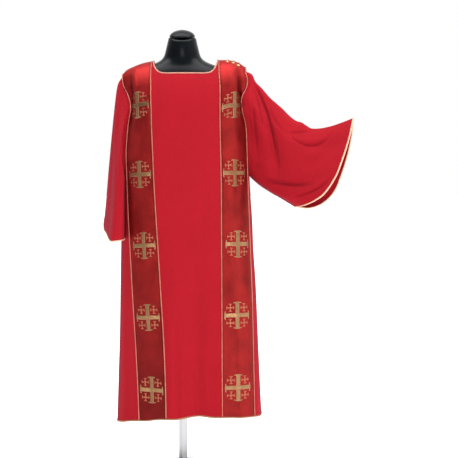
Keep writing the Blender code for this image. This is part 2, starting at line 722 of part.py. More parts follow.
def add_bindings(collection, panels, sleeves):
    pale = material("pale gold binding", PALE_GOLD, 0.5, 0.3)
    front, back = panels["front"], panels["back"]
    neck = slice(NECK_START, NECK_STOP + 1)

    def both(row, columns):
        """Points or normals along an edge of the front and back over the columns, from left to right in
        front and back to the left behind."""
        return [
            np.concatenate([getattr(front, kind)[row, columns][::-1], getattr(back, kind)[row, columns][1:]])
            for kind in ("points", "normals")
        ]

    edge, normals = both(-1, neck)
    ends = (edge[1] - edge[0], edge[-2] - edge[-1])
    edge[0] += ends[0] * SEAM_GAP / np.linalg.norm(ends[0])
    edge[-1] += ends[1] * SEAM_GAP / np.linalg.norm(ends[1])
    both_panels = [front, back]
    strip(
        "neck_binding", collection, pale, both_panels, edge, normals, False, False, BINDING_WIDTH,
        BINDING_HIGH,
    )
    hem, normals = both(0, np.s_[:])
    strip(
        "hem_binding", collection, pale, both_panels, hem[:-1], normals[:-1], True, True, HEM_BINDING_WIDTH,
        BINDING_HIGH,
    )
    for name, cloth in sleeves.items():
        strip(
            name.replace("sleeve", "cuff_binding"), collection, pale, [cloth], cloth.points[-1],
            cloth.normals[-1], True, not cloth.turned, BINDING_WIDTH, BINDING_HIGH,
        )
    slit = slice(NECK_STOP, SLIT_END + 1)
    for face, cloth in panels.items():
        edge, normals = cloth.points[-1, slit].copy(), cloth.normals[-1, slit]
        reach = edge[1] - edge[0]
        edge[0] += reach / np.linalg.norm(reach) * SLIT_START
        down = cloth.points[-2, slit] - cloth.points[-1, slit]
        down -= (down * normals).sum(-1, keepdims=True) * normals
        edge += down / np.linalg.norm(down, axis=1, keepdims=True) * SEAM_GAP
        strip(
            f"slit_binding_{face}", collection, pale, [cloth], edge, normals, False, face == "front",
            BINDING_WIDTH - 2 * SEAM_GAP, BINDING_HIGH,
        )


def add_buttons(collection, front):
    """Flattened buttons on the band's front, beside the slit."""
    gold = material("gold piping", GOLD, 0.45, 0.4)
    columns = np.arange(NECK_STOP, SLIT_END + 1)
    across = front.points[-1, columns, 0]
    for number, x in enumerate(BUTTON_SPOTS, 1):
        spot = np.array([np.interp(x, across, front.points[-1, columns, k]) for k in range(3)])
        below = np.array([np.interp(x, across, front.points[-2, columns, k]) for k in range(3)])
        spot += (below - spot) / np.linalg.norm(below - spot) * BUTTON_INSET
        place, normal = nearest([front], [spot])
        lift = CLOTH / 2 + LIFT + BAND_THICK + 0.0005 + BUTTON_HALF
        turn = Vector(normal[0]).to_track_quat("Z", "Y").to_matrix().to_4x4()
        flatten = Matrix.Diagonal((BUTTON_RADIUS, BUTTON_RADIUS, BUTTON_HALF, 1))
        shape = bmesh.new()
        bmesh.ops.create_uvsphere(
            shape, u_segments=12, v_segments=6, radius=1,
            matrix=Matrix.Translation(place[0] + normal[0] * lift) @ turn @ flatten,
        )
        mesh = bpy.data.meshes.new(f"slit_button_{number}")
        shape.to_mesh(mesh)
        shape.free()
        mesh.materials.append(gold)
        mesh.shade_smooth()
        collection.objects.link(bpy.data.objects.new(mesh.name, mesh))


def ellipse(height, half_width, front, back, slant=0.0):
    """A ring of the dress form, tilted forward by the slant."""
    turn = np.linspace(0, 2 * math.pi, FORM_SIDES, endpoint=False)
    x, y = half_width * np.cos(turn), np.sin(turn)
    y = np.where(y < 0, front * y, back * y)
    return np.stack([x, y, height + y * math.tan(slant)], axis=1)


def add_loft(collection, name, rings, look):
    """A closed body through rings, with flat ends."""
    count = len(rings[0])
    faces = [tuple(f) for f in grid_faces(len(rings), count, True, False)]
    faces.append(tuple(range(count))[::-1])
    faces.append(tuple(range((len(rings) - 1) * count, len(rings) * count)))
    made = add_object(collection, name, np.concatenate(rings), faces, look)
    made.data.shade_smooth()
    return made


def add_form(collection):
    black = material("dress form black", BLACK, 0.35)
    steel = material("stand steel", STEEL, 0.35, 0.9)
    names = ("half_width", "front", "back")
    body = [ellipse(FORM_BOTTOM, *(FORM[name][0] * 0.94 for name in names))]
    body += [ellipse(FORM["height"][k], *(FORM[name][k] for name in names)) for k in range(len(FORM["height"]))]
    body.append(ellipse(1.545, 0.0553, 0.0520, 0.0540, NECK_SLANT * 0.5))
    body.append(ellipse(1.559, 0.0523, 0.0500, 0.0515, NECK_SLANT * 0.9))
    body.append(ellipse(NECK_TOP, 0.0490, 0.0470, 0.0485, NECK_SLANT))
    add_loft(collection, "form_body", body, black)
    cap = []
    for rise, share in CAP_PROFILE:
        sizes = (share * size for size in (0.0474, 0.0455, 0.0470))
        cap.append(ellipse(NECK_TOP + 0.0005 + rise * CAP_HIGH, *sizes, NECK_SLANT))
    add_loft(collection, "form_neck_cap", cap, black)
    bpy.ops.mesh.primitive_cylinder_add(
        vertices=24, radius=POLE_RADIUS, depth=FORM_BOTTOM + RAISED - BASE_THICK - 0.0006,
        location=(0, 0, (FORM_BOTTOM + RAISED + BASE_THICK) / 2),
    )
    move_to(collection, bpy.context.object, "stand_pole", steel)
    bpy.ops.mesh.primitive_cylinder_add(
        vertices=48, radius=BASE_RADIUS, depth=BASE_THICK, location=(0, 0, BASE_THICK / 2)
    )
    base = bpy.context.object
    move_to(collection, base, "stand_base", steel)
    bevel = base.modifiers.new("rounded rim", "BEVEL")
    bevel.width, bevel.segments, bevel.limit_method = 0.004, 2, "ANGLE"


def move_to(collection, made, name, look):
    for old in list(made.users_collection):
        old.objects.unlink(made)
    collection.objects.link(made)
    made.name = made.data.name = name
    made.data.materials.append(look)
    made.data.shade_smooth()
    made.data.set_sharp_from_angle(angle=math.radians(35))


def main():
    for old in list(bpy.data.objects):
        bpy.data.objects.remove(old)
    collection = bpy.data.collections.new("dalmatic")
    bpy.context.scene.collection.children.link(collection)

    grids = {"front": panel("front"), "back": panel("back")}
    for ends in (np.s_[-1, : NECK_START + 1], np.s_[-1, NECK_STOP:], np.s_[: SKIRT_ROWS + 1, 0],
                 np.s_[: SKIRT_ROWS + 1, -1]):
        shared = (grids["front"][ends] + grids["back"][ends]) / 2
        grids["front"][ends] = grids["back"][ends] = shared
    for face, folds in (("front", FRONT_FOLDS), ("back", BACK_FOLDS)):
        grids[face] = creased(grids[face], folds, face)
    panels = {face: Cloth(grid, turned=face == "back") for face, grid in grids.items()}
    left = sleeve(
        grids["front"], grids["back"], -1, LEFT_TOP, LEFT_SEAM, LEFT_CUFF_FRONT, LEFT_CUFF_BACK,
        LEFT_FRONT_FOLDS, LEFT_BACK_FOLDS,
    )
    right = sleeve(
        grids["front"], grids["back"], 0, RIGHT_TOP, RIGHT_SEAM, RIGHT_CUFF_FRONT, RIGHT_CUFF_BACK,
        RIGHT_FRONT_FOLDS, RIGHT_BACK_FOLDS,
    )
    sleeves = {
        "sleeve_left": Cloth(left, closed=True, turned=False),
        "sleeve_right": Cloth(right, closed=True, turned=True),
    }
    join_normals([*panels.values(), *sleeves.values()])

    add_cloth(collection, panels, sleeves)
    add_bands(collection, panels)
    add_bindings(collection, panels, sleeves)
    add_buttons(collection, panels["front"])
    add_form(collection)
    for made in collection.objects:
        if not made.name.startswith("stand"):
            made.data.transform(Matrix.Translation((0, 0, RAISED)))


main()
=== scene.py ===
"""Dalmatic on a limbless dress form: cloth, bands, cords, embroidered crosses, stand and studio.

The garment faces -Y, so +X is the wearer's left, whose sleeve is raised to the side. Sizes are in metres.
Each piece of cloth is a thin shell: a fine grid of points worked out from the garment's plan at each height,
pressed in along its folds. What is sewn on the cloth is made from the cloth's own points, moved out.
"""

import functools
import math

import bmesh
import bpy
import numpy as np
from bpy.props import FloatProperty, FloatVectorProperty, PointerProperty
from bpy.types import Operator, Panel, PropertyGroup
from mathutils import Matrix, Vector


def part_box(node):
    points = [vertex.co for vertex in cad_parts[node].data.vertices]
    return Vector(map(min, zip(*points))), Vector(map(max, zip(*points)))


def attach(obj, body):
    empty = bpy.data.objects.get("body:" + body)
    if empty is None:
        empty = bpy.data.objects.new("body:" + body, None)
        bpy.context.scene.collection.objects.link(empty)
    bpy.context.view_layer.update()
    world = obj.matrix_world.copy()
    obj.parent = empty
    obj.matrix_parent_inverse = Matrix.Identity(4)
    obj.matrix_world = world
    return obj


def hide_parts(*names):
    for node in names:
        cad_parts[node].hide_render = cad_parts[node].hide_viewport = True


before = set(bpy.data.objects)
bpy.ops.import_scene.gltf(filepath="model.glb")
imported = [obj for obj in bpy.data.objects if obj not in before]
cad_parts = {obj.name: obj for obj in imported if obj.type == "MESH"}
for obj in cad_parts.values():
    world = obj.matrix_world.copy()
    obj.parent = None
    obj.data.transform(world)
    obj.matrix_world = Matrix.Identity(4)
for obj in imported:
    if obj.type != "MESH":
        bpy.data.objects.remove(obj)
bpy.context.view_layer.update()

bl_info = {
    "name": "Dalmatic on a dress form",
    "version": (1, 0, 0),
    "blender": (4, 5, 0),
    "location": "View3D > Sidebar > Dalmatic",
    "description": "Builds a dalmatic with banded panels and wide sleeves on a dress form",
    "category": "Add Mesh",
}

# ---- Driving sizes ----
# Trims
SEAM_GAP = 0.0002  # each piece stops this short of a seam
LIFT = 0.0006  # between the cloth and what is sewn on it
PIPING_WIDTH = 0.0045
PIPING_HIGH = 0.0024
PIPING_ROUND = 0.010  # once round a piping
CORD_SHADE = 0.0030  # the bands get a painted shadow this near to the pipings
BAND_FOLD = 0.006  # folds this deep give the bands the full painted shade
BINDING_OVER = 0.0007  # how far a binding stands out past the edge that it covers
BINDING_ROUND = 0.7  # 1 makes its section an ellipse, and less makes it squarer
HEM_BINDING_WIDTH = 0.0062
SLIT_BINDING_WIDTH, SLIT_BINDING_HIGH = 0.7, 0.8  # as shares of the other bindings' sizes
SLIT_BINDING_IN = 0.0016  # how far the slit's bindings stand back from its edges

# Crosses
CROSS_LIFT = 0.0001  # of a cross off its band
CROSS_END, CROSS_FLARE = 0.0030, math.radians(19)  # thickness of a crossbar, and half the angle that it spans
SMALL_BAR, SMALL_END, SMALL_FLARE = 0.0040, 0.0024, math.radians(26)  # of the small crosses, likewise
SMALL_RISE = 1.04  # of a small cross's place, upwards against sideways
CROSS_SIDES, CROSS_SLOPE = 0.55, 0.45  # shares of its height that its sides and its sloping edge take
CROSS_EDGE = 0.0010  # width of that edge
RIM_UP_TO, RIM_OVER = 0.45, 0.4  # shares of its height up to which its rim is bright, and over which it dims
CROSS_CUTS, CROSS_CUTS_OFF = 0.0056, 0.00041  # the grid on which a cross is cut, and how far it is off centre

# Buttons and loops
BUTTON_RADIUS, BUTTON_HIGH, BUTTON_BEVEL = 0.0048, 0.0034, 0.0005
BUTTON_DISH = ((0.0011, 0.0), (0.0005, -0.0009), (0.0018, 0.0006))  # steps in its face: how far in, and up
LOOP_RADIUS, LOOP_LIFT = 0.0008, 0.0008  # of a loop's cord, and of its middle off the band
LOOP_TURN = 0.0060  # radius of a loop where it passes round its button
LOOP_ROUND = 0.005  # once round a loop's cord

# Panels and sleeves
RAISED = 0.022  # of all but the stand, above the heights in the tables below
PLAN_LOW, PLAN_STEP, PLAN_COUNT = 0.10, 0.005, 285  # the heights at which the garment's plan is worked out
PLAN_POINTS = 601  # of each face, at each height
BAND_MARGIN = 0.0036  # the cloth shown outside an outer piping
ARMHOLE_EDGE = 0.0085  # from the middle of the outer piping to the armhole seam
ARMHOLE_MIDDLE = 0.00605  # from there to halfway across the cloth between the two
ARMHOLE_ROUND = (0.0, 0.06, 0.14, 0.28, 0.52, 0.76, 1.0)  # heights up the armhole's lower curve, as shares
ARMHOLE_WIDTH = (1.0, 0.45, 0.16, 0.0, 0.0, 0.0, 0.0)  # how much of the side is cloth at each of them
UNDERARM = 1.07  # height of the point where the side seam meets the sleeve
SHOULDER_DROP = 0.17  # how far below the shoulder line the cloth reaches its full depth
HEM_LEVEL, SHOULDER_LEVEL = 0.20, 1.46  # the heights at which the hem's and the shoulder line's X are read
SLIT_START = 0.0062  # from the neck's edge to the end of the slit's bindings
SLIT_GAPE = 0.006  # how far the front slips down at the middle of the slit
SLIT_REACH = 0.10  # and how far below the slit it does so
SEAM_WIDE, SEAM_SUNK = 0.0035, 0.0007  # the groove that sewing draws along a seam
FILLED_OUT = 0.010  # how far the hanging sleeve's front inner edge swells towards the body
FILLED_FROM = (-0.242, -0.045, 1.140)  # it does so further in, further forward and lower down than this
FILLED_OVER = (0.024, 0.040, 0.080)  # and in full this much further along each
SHARP_EDGE = 48  # degrees between two faces, past which their edge isn't smoothed

# Folds
NARROW_FOLD = 0.007  # folds up to this wide get the full painted shade
LIPS_AT, LIPS_WIDE = 1.9, 0.7  # where a fold's lips stand and how wide they are, in widths of the fold
SIDE_STRIP = 0.05  # the panels' folds fade out this near to the side seams
SLEEVE_STRIP = 0.06  # the sleeves' folds fade out over this share of the way to the cuff

# Pitches of the threads in the finishes
WEAVE, SATIN_THREADS = 0.0009, 0.0007
CORD_TWIST, CORD_STRANDS, BRAID_STRANDS = 0.0016, 0.0004, 0.0013
STITCHES, COUCHING = 0.0012, 0.0034

# Studio
FLOOR_SIZE, FLOOR_LEVEL = 60.0, -0.0005
BRIGHTEST_FROM = (0.53, 0.85, 0.0)  # the direction from which the surroundings are brightest
DIMMEST, BRIGHTEST = 0.3, 2.2  # how bright they are on the far side and there, as shares
LIGHTS = (
    ("key", (0.1, -5.2, 0.6), (0.9, 0.9)),
    ("front", (0.1, -5.2, 2.1), (0.5, 0.5)),
    ("side", (4.0, -3.1, 0.8), (2.2, 2.2)),
    ("top", (0.0, -0.4, 4.1), (5.0, 2.2)),
)  # where each light stands, and its size
LIGHTS_AIM = (0.05, 0.0, 0.95)
CAMERA_AT, CAMERA_AIM = (0.169, -4.5, 1.15 + RAISED), (0.169, 0.0, 0.877 + RAISED)


def table(names, *rows):
    """Columns by name."""
    return dict(zip(names.split(), np.array(rows, float).T))


# Plan of the garment at each height: the sides' places in X, the depths, and on each side the power of the
# superellipse, where 2 is an ellipse and more is squarer.
SECTIONS = table(
    "height right left front back square_right square_left",
    (0.10, -0.244, 0.293, 0.156, 0.152, 2.2, 3.9),
    (0.30, -0.237, 0.2825, 0.153, 0.148, 2.2, 3.7),
    (0.50, -0.230, 0.2735, 0.150, 0.144, 2.3, 3.4),
    (0.70, -0.226, 0.2645, 0.147, 0.140, 2.3, 3.0),
    (0.80, -0.224, 0.2575, 0.145, 0.138, 2.3, 2.9),
    (0.90, -0.222, 0.2535, 0.142, 0.136, 2.4, 2.7),
    (1.07, -0.221, 0.243, 0.137, 0.132, 2.4, 2.5),
    (1.20, -0.223, 0.243, 0.133, 0.130, 2.4, 2.4),
    (1.33, -0.225, 0.243, 0.126, 0.126, 2.4, 2.4),
    (1.42, -0.229, 0.246, 0.119, 0.119, 2.4, 2.4),
    (1.52, -0.236, 0.250, 0.118, 0.118, 2.4, 2.4),
)

# Places in X of the middles of the pipings.
LINES_FRONT = table(
    "height outer_right inner_right inner_left outer_left",
    (0.15, -0.151, -0.054, 0.146, 0.262),
    (0.32, -0.157, -0.056, 0.145, 0.258),
    (0.50, -0.166, -0.063, 0.144, 0.254),
    (0.63, -0.174, -0.071, 0.1435, 0.251),
    (0.81, -0.184, -0.082, 0.1425, 0.244),
    (0.92, -0.190, -0.089, 0.142, 0.240),
    (1.06, -0.195, -0.097, 0.141, 0.235),
    (1.16, -0.1975, -0.101, 0.139, 0.232),
    (1.25, -0.191, -0.105, 0.137, 0.228),
    (1.33, -0.184, -0.107, 0.137, 0.2135),
    (1.365, -0.193, -0.108, 0.137, 0.2195),
    (1.39, -0.207, -0.108, 0.137, 0.231),
    (1.42, -0.214, -0.109, 0.135, 0.2335),
    (1.44, -0.2145, -0.1095, 0.1335, 0.2285),
    (1.50, -0.2145, -0.1095, 0.133, 0.2285),
)
LINES_BACK = table(
    "height outer_right inner_right inner_left outer_left",
    (0.15, -0.190, -0.084, 0.138, 0.248),
    (0.50, -0.192, -0.090, 0.137, 0.243),
    (0.81, -0.194, -0.098, 0.136, 0.238),
    (1.06, -0.198, -0.104, 0.136, 0.232),
    (1.16, -0.200, -0.107, 0.136, 0.230),
    (1.25, -0.199, -0.108, 0.136, 0.228),
    (1.33, -0.199, -0.109, 0.136, 0.224),
    (1.39, -0.208, -0.109, 0.135, 0.228),
    (1.42, -0.213, -0.109, 0.134, 0.229),
    (1.44, -0.2145, -0.1095, 0.1335, 0.2285),
    (1.50, -0.2145, -0.1095, 0.133, 0.2285),
)
SHOULDER_LINE = table(
    "x height",
    (-0.240, 1.420),
    (-0.2124, 1.4395),
    (-0.2011, 1.4500),
    (-0.1761, 1.4630),
    (-0.1485, 1.4740),
    (-0.1040, 1.4840),
    (-0.0500, 1.4930),
    (0.0100, 1.4960),
    (0.0700, 1.4930),
    (0.1280, 1.4874),
    (0.1759, 1.4853),
    (0.1976, 1.4795),
    (0.2211, 1.4655),
    (0.2380, 1.4545),
    (0.2500, 1.4450),
)

# The neck's edge, from the wearer's right to left, on the shoulder line at both ends.
NECK = table(
    "x front back",
    (-0.1005, 1.4840, 1.4840),
    (-0.0992, 1.4800, 1.4815),
    (-0.0962, 1.4700, 1.4760),
    (-0.0885, 1.4540, 1.4670),
    (-0.0770, 1.4430, 1.4600),
    (-0.0600, 1.4390, 1.4570),
    (-0.0250, 1.4388, 1.4560),
    (0.0120, 1.4387, 1.4555),
    (0.0490, 1.4388, 1.4560),
    (0.0840, 1.4392, 1.4570),
    (0.1010, 1.4430, 1.4600),
    (0.1130, 1.4550, 1.4690),
    (0.1212, 1.4735, 1.4795),
    (0.1240, 1.4836, 1.4850),
    (0.1250, 1.4874, 1.4874),
)
HEM = table(
    "x front back",
    (-0.250, 0.170, 0.170),
    (-0.207, 0.183, 0.181),
    (-0.164, 0.1925, 0.189),
    (-0.122, 0.1955, 0.1945),
    (-0.079, 0.2036, 0.1985),
    (-0.037, 0.2060, 0.2000),
    (-0.015, 0.2056, 0.2005),
    (0.006, 0.2090, 0.2015),
    (0.048, 0.2143, 0.2035),
    (0.070, 0.2151, 0.2045),
    (0.112, 0.2112, 0.2045),
    (0.134, 0.2111, 0.2035),
    (0.176, 0.2115, 0.2040),
    (0.219, 0.2095, 0.2040),
    (0.261, 0.2075, 0.2045),
    (0.292, 0.2030, 0.2030),
)
# The raised sleeve: its folded top, the seam under the arm, and the two halves of its cuff.
LEFT_TOP = table(
    "x y z",
    (0.2500, -0.002, 1.4385),
    (0.2637, -0.006, 1.4118),
    (0.2872, -0.012, 1.3868),
    (0.3170, -0.021, 1.3520),
    (0.3391, -0.030, 1.3320),
    (0.3600, -0.037, 1.3133),
    (0.3811, -0.043, 1.2915),
    (0.4024, -0.050, 1.2732),
    (0.4140, -0.054, 1.2666),
    (0.4287, -0.060, 1.2628),
    (0.4445, -0.065, 1.2517),
    (0.4619, -0.072, 1.2416),
    (0.4870, -0.082, 1.2402),
    (0.5290, -0.098, 1.2478),
    (0.5740, -0.118, 1.2630),
    (0.6080, -0.135, 1.2765),
)
LEFT_SEAM = table(
    "x y z",
    (0.2780, -0.010, 1.0390),
    (0.3200, -0.025, 1.0115),
    (0.3580, -0.042, 0.9893),
    (0.3860, -0.055, 0.9725),
    (0.4060, -0.068, 0.9605),
)
LEFT_CUFF_FRONT = table(
    "x y z",
    (0.5970, -0.165, 1.2310),
    (0.5820, -0.178, 1.1780),
    (0.5630, -0.186, 1.1230),
    (0.5450, -0.190, 1.0770),
    (0.5220, -0.188, 1.0370),
    (0.5000, -0.180, 1.0080),
    (0.4670, -0.160, 0.9830),
    (0.4350, -0.125, 0.9680),
)
LEFT_CUFF_BACK = table(
    "x y z",
    (0.6060, -0.112, 1.2200),
    (0.5960, -0.092, 1.1580),
    (0.5810, -0.076, 1.1000),
    (0.5700, -0.066, 1.0650),
    (0.5560, -0.060, 1.0280),
    (0.5320, -0.056, 0.9930),
    (0.5000, -0.055, 0.9680),
    (0.4600, -0.058, 0.9550),
)
# The hanging sleeve, in the same way.
RIGHT_TOP = table(
    "x y z",
    (-0.2304, 0.000, 1.4074),
    (-0.2380, 0.000, 1.3768),
    (-0.2425, 0.000, 1.3425),
    (-0.2485, 0.000, 1.2915),
    (-0.2668, 0.000, 1.1100),
    (-0.2840, 0.000, 0.9282),
    (-0.2888, 0.000, 0.8890),
    (-0.2875, 0.000, 0.8760),
)
RIGHT_SEAM = table(
    "x y z",
    (-0.2270, 0.000, 1.0400),
    (-0.2310, 0.000, 0.9900),
    (-0.2325, 0.000, 0.9200),
    (-0.2325, 0.000, 0.8480),
)
RIGHT_CUFF_FRONT = table(
    "x y z",
    (-0.2800, -0.030, 0.8690),
    (-0.2720, -0.057, 0.8625),
    (-0.2610, -0.095, 0.8470),
    (-0.2500, -0.129, 0.8400),
    (-0.2385, -0.147, 0.8400),
    (-0.2260, -0.150, 0.8425),
    (-0.2165, -0.132, 0.8445),
    (-0.2170, -0.080, 0.8465),
)
RIGHT_CUFF_BACK = table(
    "x y z",
    (-0.2840, 0.055, 0.8630),
    (-0.2760, 0.105, 0.8500),
    (-0.2660, 0.142, 0.8430),
    (-0.2500, 0.160, 0.8410),
    (-0.2330, 0.152, 0.8420),
    (-0.2230, 0.118, 0.8440),
    (-0.2220, 0.066, 0.8460),
)
# Folds, as seen square on. Each runs from its start to its end in X and Z, with its middle bowed sideways,
# and is pressed in by its depth, or raised where the depth is negative. A sharp fold is more of a crease,
# and its lips are the share of its depth by which the cloth swells on both sides.
FOLD_COLUMNS = "start_x start_z end_x end_z bow width depth sharp lips"
FRONT_FOLDS = table(
    FOLD_COLUMNS,
    (-0.187, 1.470, -0.181, 1.315, 0.012, 0.015, 0.009, 0.2, 0.15),
    (-0.1817, 1.4330, -0.1850, 1.2450, -0.0086, 0.0075, 0.0120, 0.0, 0.20),
    (-0.176, 1.390, -0.199, 1.160, 0.000, 0.018, 0.012, 0.0, 0.10),
    (0.2000, 1.470, 0.2125, 1.315, -0.004, 0.015, 0.009, 0.2, 0.15),
    (0.1994, 1.4380, 0.2250, 1.2520, 0.0030, 0.0075, 0.0130, 0.0, 0.20),
    (0.2060, 1.390, 0.2340, 1.160, 0.000, 0.018, 0.012, 0.0, 0.10),
    (0.0680, -0.350, 0.0500, 0.820, 0.000, 0.030, 0.012, 0.0, 0.00),
    (-0.0480, -0.420, -0.0300, 0.900, 0.000, 0.034, -0.010, 0.0, 0.00),
    (-0.0120, 0.020, -0.0250, 0.620, 0.004, 0.011, 0.0035, 0.2, 0.25),
    (0.1130, -0.100, 0.1020, 0.540, 0.000, 0.018, 0.0035, 0.0, 0.00),
    (-0.1260, -0.200, -0.1110, 0.560, 0.003, 0.020, 0.0040, 0.0, 0.00),
    (0.2080, -0.150, 0.1990, 0.660, 0.000, 0.020, -0.0045, 0.0, 0.00),
    (-0.1900, -0.100, -0.1980, 0.780, 0.002, 0.012, 0.0045, 0.2, 0.20),
    (0.2610, 0.050, 0.2500, 0.860, 0.000, 0.008, 0.0040, 0.2, 0.20),
    (-0.0820, 1.450, -0.0980, 1.190, 0.002, 0.016, 0.0030, 0.1, 0.20),
    (0.1090, 1.450, 0.1270, 1.210, -0.002, 0.015, 0.0028, 0.1, 0.20),
    (-0.0300, 1.300, 0.0500, 1.255, 0.012, 0.026, 0.0022, 0.0, 0.00),
    (0.0900, 1.080, 0.0720, 0.800, 0.004, 0.020, 0.0026, 0.0, 0.00),
    (-0.1620, 1.000, -0.1480, 0.760, 0.000, 0.016, 0.0034, 0.0, 0.10),
    (0.2120, 1.130, 0.1900, 0.930, 0.003, 0.013, 0.0036, 0.1, 0.10),
    (-0.2020, 1.070, -0.1900, 0.940, 0.000, 0.010, 0.0040, 0.2, 0.20),
)
BACK_FOLDS = table(
    FOLD_COLUMNS,
    (-0.185, 1.470, -0.190, 1.290, 0.010, 0.018, 0.012, 0.1, 0.10),
    (0.205, 1.470, 0.214, 1.290, -0.006, 0.018, 0.012, 0.1, 0.10),
    (-0.035, -0.400, -0.020, 0.950, 0.000, 0.034, 0.013, 0.0, 0.00),
    (0.060, -0.350, 0.045, 0.860, 0.000, 0.032, -0.012, 0.0, 0.00),
    (0.0150, -0.050, 0.0110, 0.700, 0.003, 0.013, 0.0040, 0.2, 0.25),
    (-0.1300, -0.200, -0.1180, 0.640, 0.000, 0.020, -0.0060, 0.0, 0.00),
    (-0.0880, -0.100, -0.0860, 0.500, 0.002, 0.013, 0.0040, 0.1, 0.10),
    (0.1120, -0.150, 0.1000, 0.620, -0.003, 0.018, 0.0050, 0.0, 0.10),
    (0.1950, -0.150, 0.1840, 0.780, 0.000, 0.022, -0.0055, 0.0, 0.00),
    (0.2480, 0.000, 0.2400, 0.800, 0.000, 0.010, 0.0045, 0.2, 0.20),
    (-0.2050, -0.050, -0.2060, 0.840, 0.002, 0.012, 0.0050, 0.2, 0.20),
    (-0.0760, 1.440, -0.1180, 1.150, 0.004, 0.018, 0.0034, 0.1, 0.20),
    (0.1000, 1.440, 0.1420, 1.130, -0.004, 0.017, 0.0034, 0.1, 0.20),
    (-0.0400, 1.390, 0.0620, 1.385, 0.022, 0.024, 0.0026, 0.0, 0.00),
    (-0.0500, 1.150, -0.0620, 0.840, 0.004, 0.024, 0.0036, 0.0, 0.00),
    (0.1720, 1.120, 0.1640, 0.880, 0.003, 0.016, 0.0036, 0.1, 0.10),
)
LEFT_FRONT_FOLDS = table(
    FOLD_COLUMNS,
    (0.2440, 1.440, 0.3440, 1.050, -0.022, 0.022, 0.013, 0.1, 0.12),
    (0.2400, 1.400, 0.2700, 1.130, 0.000, 0.016, 0.004, 0.1, 0.15),
    (0.3850, 1.220, 0.5900, 1.260, 0.060, 0.022, 0.006, 0.1, 0.15),
    (0.2700, 1.085, 0.5000, 1.080, 0.040, 0.022, 0.007, 0.1, 0.15),
    (0.2400, 1.4420, 0.3490, 1.0980, -0.018, 0.0050, 0.0090, 0.5, 0.30),
    (0.2589, 1.3850, 0.2890, 1.2500, -0.002, 0.0050, 0.0050, 0.4, 0.20),
    (0.2517, 1.3400, 0.2697, 1.1600, 0.000, 0.0050, 0.0035, 0.3, 0.20),
    (0.2950, 1.3620, 0.3850, 1.2760, 0.000, 0.0090, 0.0070, 0.2, 0.10),
    (0.3090, 1.3083, 0.3720, 1.2200, 0.004, 0.0060, 0.0035, 0.3, 0.20),
    (0.3660, 1.2230, 0.5320, 1.2440, 0.005, 0.0050, 0.0055, 0.4, 0.20),
    (0.3995, 1.2060, 0.5120, 1.2130, 0.012, 0.0140, -0.0080, 0.0, 0.00),
    (0.3840, 1.2110, 0.5440, 1.2380, 0.045, 0.0055, 0.0060, 0.4, 0.20),
    (0.4300, 1.0880, 0.5750, 1.2090, 0.000, 0.0200, 0.0090, 0.0, 0.00),
    (0.2800, 1.0680, 0.4680, 1.0450, 0.012, 0.0070, 0.0085, 0.3, 0.25),
    (0.3900, 1.0010, 0.5260, 1.0660, 0.015, 0.0055, 0.0070, 0.4, 0.20),
    (0.2700, 1.1200, 0.3400, 1.1050, 0.004, 0.0220, -0.0060, 0.0, 0.00),
)
LEFT_BACK_FOLDS = table(
    FOLD_COLUMNS,
    (0.2500, 1.430, 0.3700, 1.030, -0.020, 0.024, 0.018, 0.1, 0.12),
    (0.3700, 1.230, 0.5800, 1.240, 0.055, 0.024, 0.012, 0.1, 0.12),
    (0.2420, 1.390, 0.2760, 1.110, -0.003, 0.014, 0.0070, 0.2, 0.20),
    (0.2760, 1.080, 0.4700, 1.060, 0.034, 0.018, 0.0080, 0.1, 0.15),
    (0.2780, 1.350, 0.3720, 1.090, -0.018, 0.009, 0.0050, 0.5, 0.25),
    (0.4150, 1.180, 0.5600, 1.190, 0.048, 0.011, 0.0050, 0.3, 0.20),
    (0.4400, 0.990, 0.5560, 1.080, 0.018, 0.012, 0.0050, 0.3, 0.20),
    (0.3500, 1.300, 0.4480, 1.230, 0.008, 0.012, -0.0045, 0.2, 0.10),
)
RIGHT_FRONT_FOLDS = table(
    FOLD_COLUMNS,
    (-0.226, 1.340, -0.262, 0.980, 0.004, 0.012, 0.008, 0.1, 0.10),
    (-0.2330, 1.300, -0.2480, 0.820, -0.003, 0.008, 0.0040, 0.3, 0.20),
    (-0.2330, 1.360, -0.2480, 0.780, 0.000, 0.0085, -0.0095, 0.0, 0.00),
    (-0.2440, 1.320, -0.2590, 0.860, 0.002, 0.0050, 0.0030, 0.3, 0.20),
    (-0.2180, 1.240, -0.2270, 0.880, 0.000, 0.0045, 0.0030, 0.3, 0.20),
)
RIGHT_BACK_FOLDS = table(
    FOLD_COLUMNS,
    (-0.226, 1.360, -0.268, 0.990, 0.004, 0.014, 0.010, 0.1, 0.10),
    (-0.2340, 1.260, -0.2520, 0.830, 0.003, 0.008, 0.0045, 0.3, 0.20),
    (-0.2480, 1.120, -0.2700, 0.820, 0.000, 0.007, -0.0040, 0.0, 0.00),
)
# Width against height of the crosses of each band, and X and height of their middles.
CROSSES = (
    ("front", "right", 0.93, (
        (-0.1556, 1.3273), (-0.1492, 1.0776), (-0.1332, 0.8255), (-0.1194, 0.5696), (-0.1058, 0.3099),
    )),
    ("front", "left", 1.0, (
        (0.1892, 1.3273), (0.1910, 1.0833), (0.2010, 0.8309), (0.1993, 0.5782), (0.2025, 0.3204),
    )),
    ("back", "right", 1.0, (
        (-0.1560, 1.3250), (-0.1530, 1.0750), (-0.1480, 0.8230), (-0.1430, 0.5680), (-0.1390, 0.3080),
    )),
    ("back", "left", 1.0, (
        (0.1820, 1.3250), (0.1850, 1.0800), (0.1880, 0.8280), (0.1920, 0.5740), (0.1950, 0.3160),
    )),
)


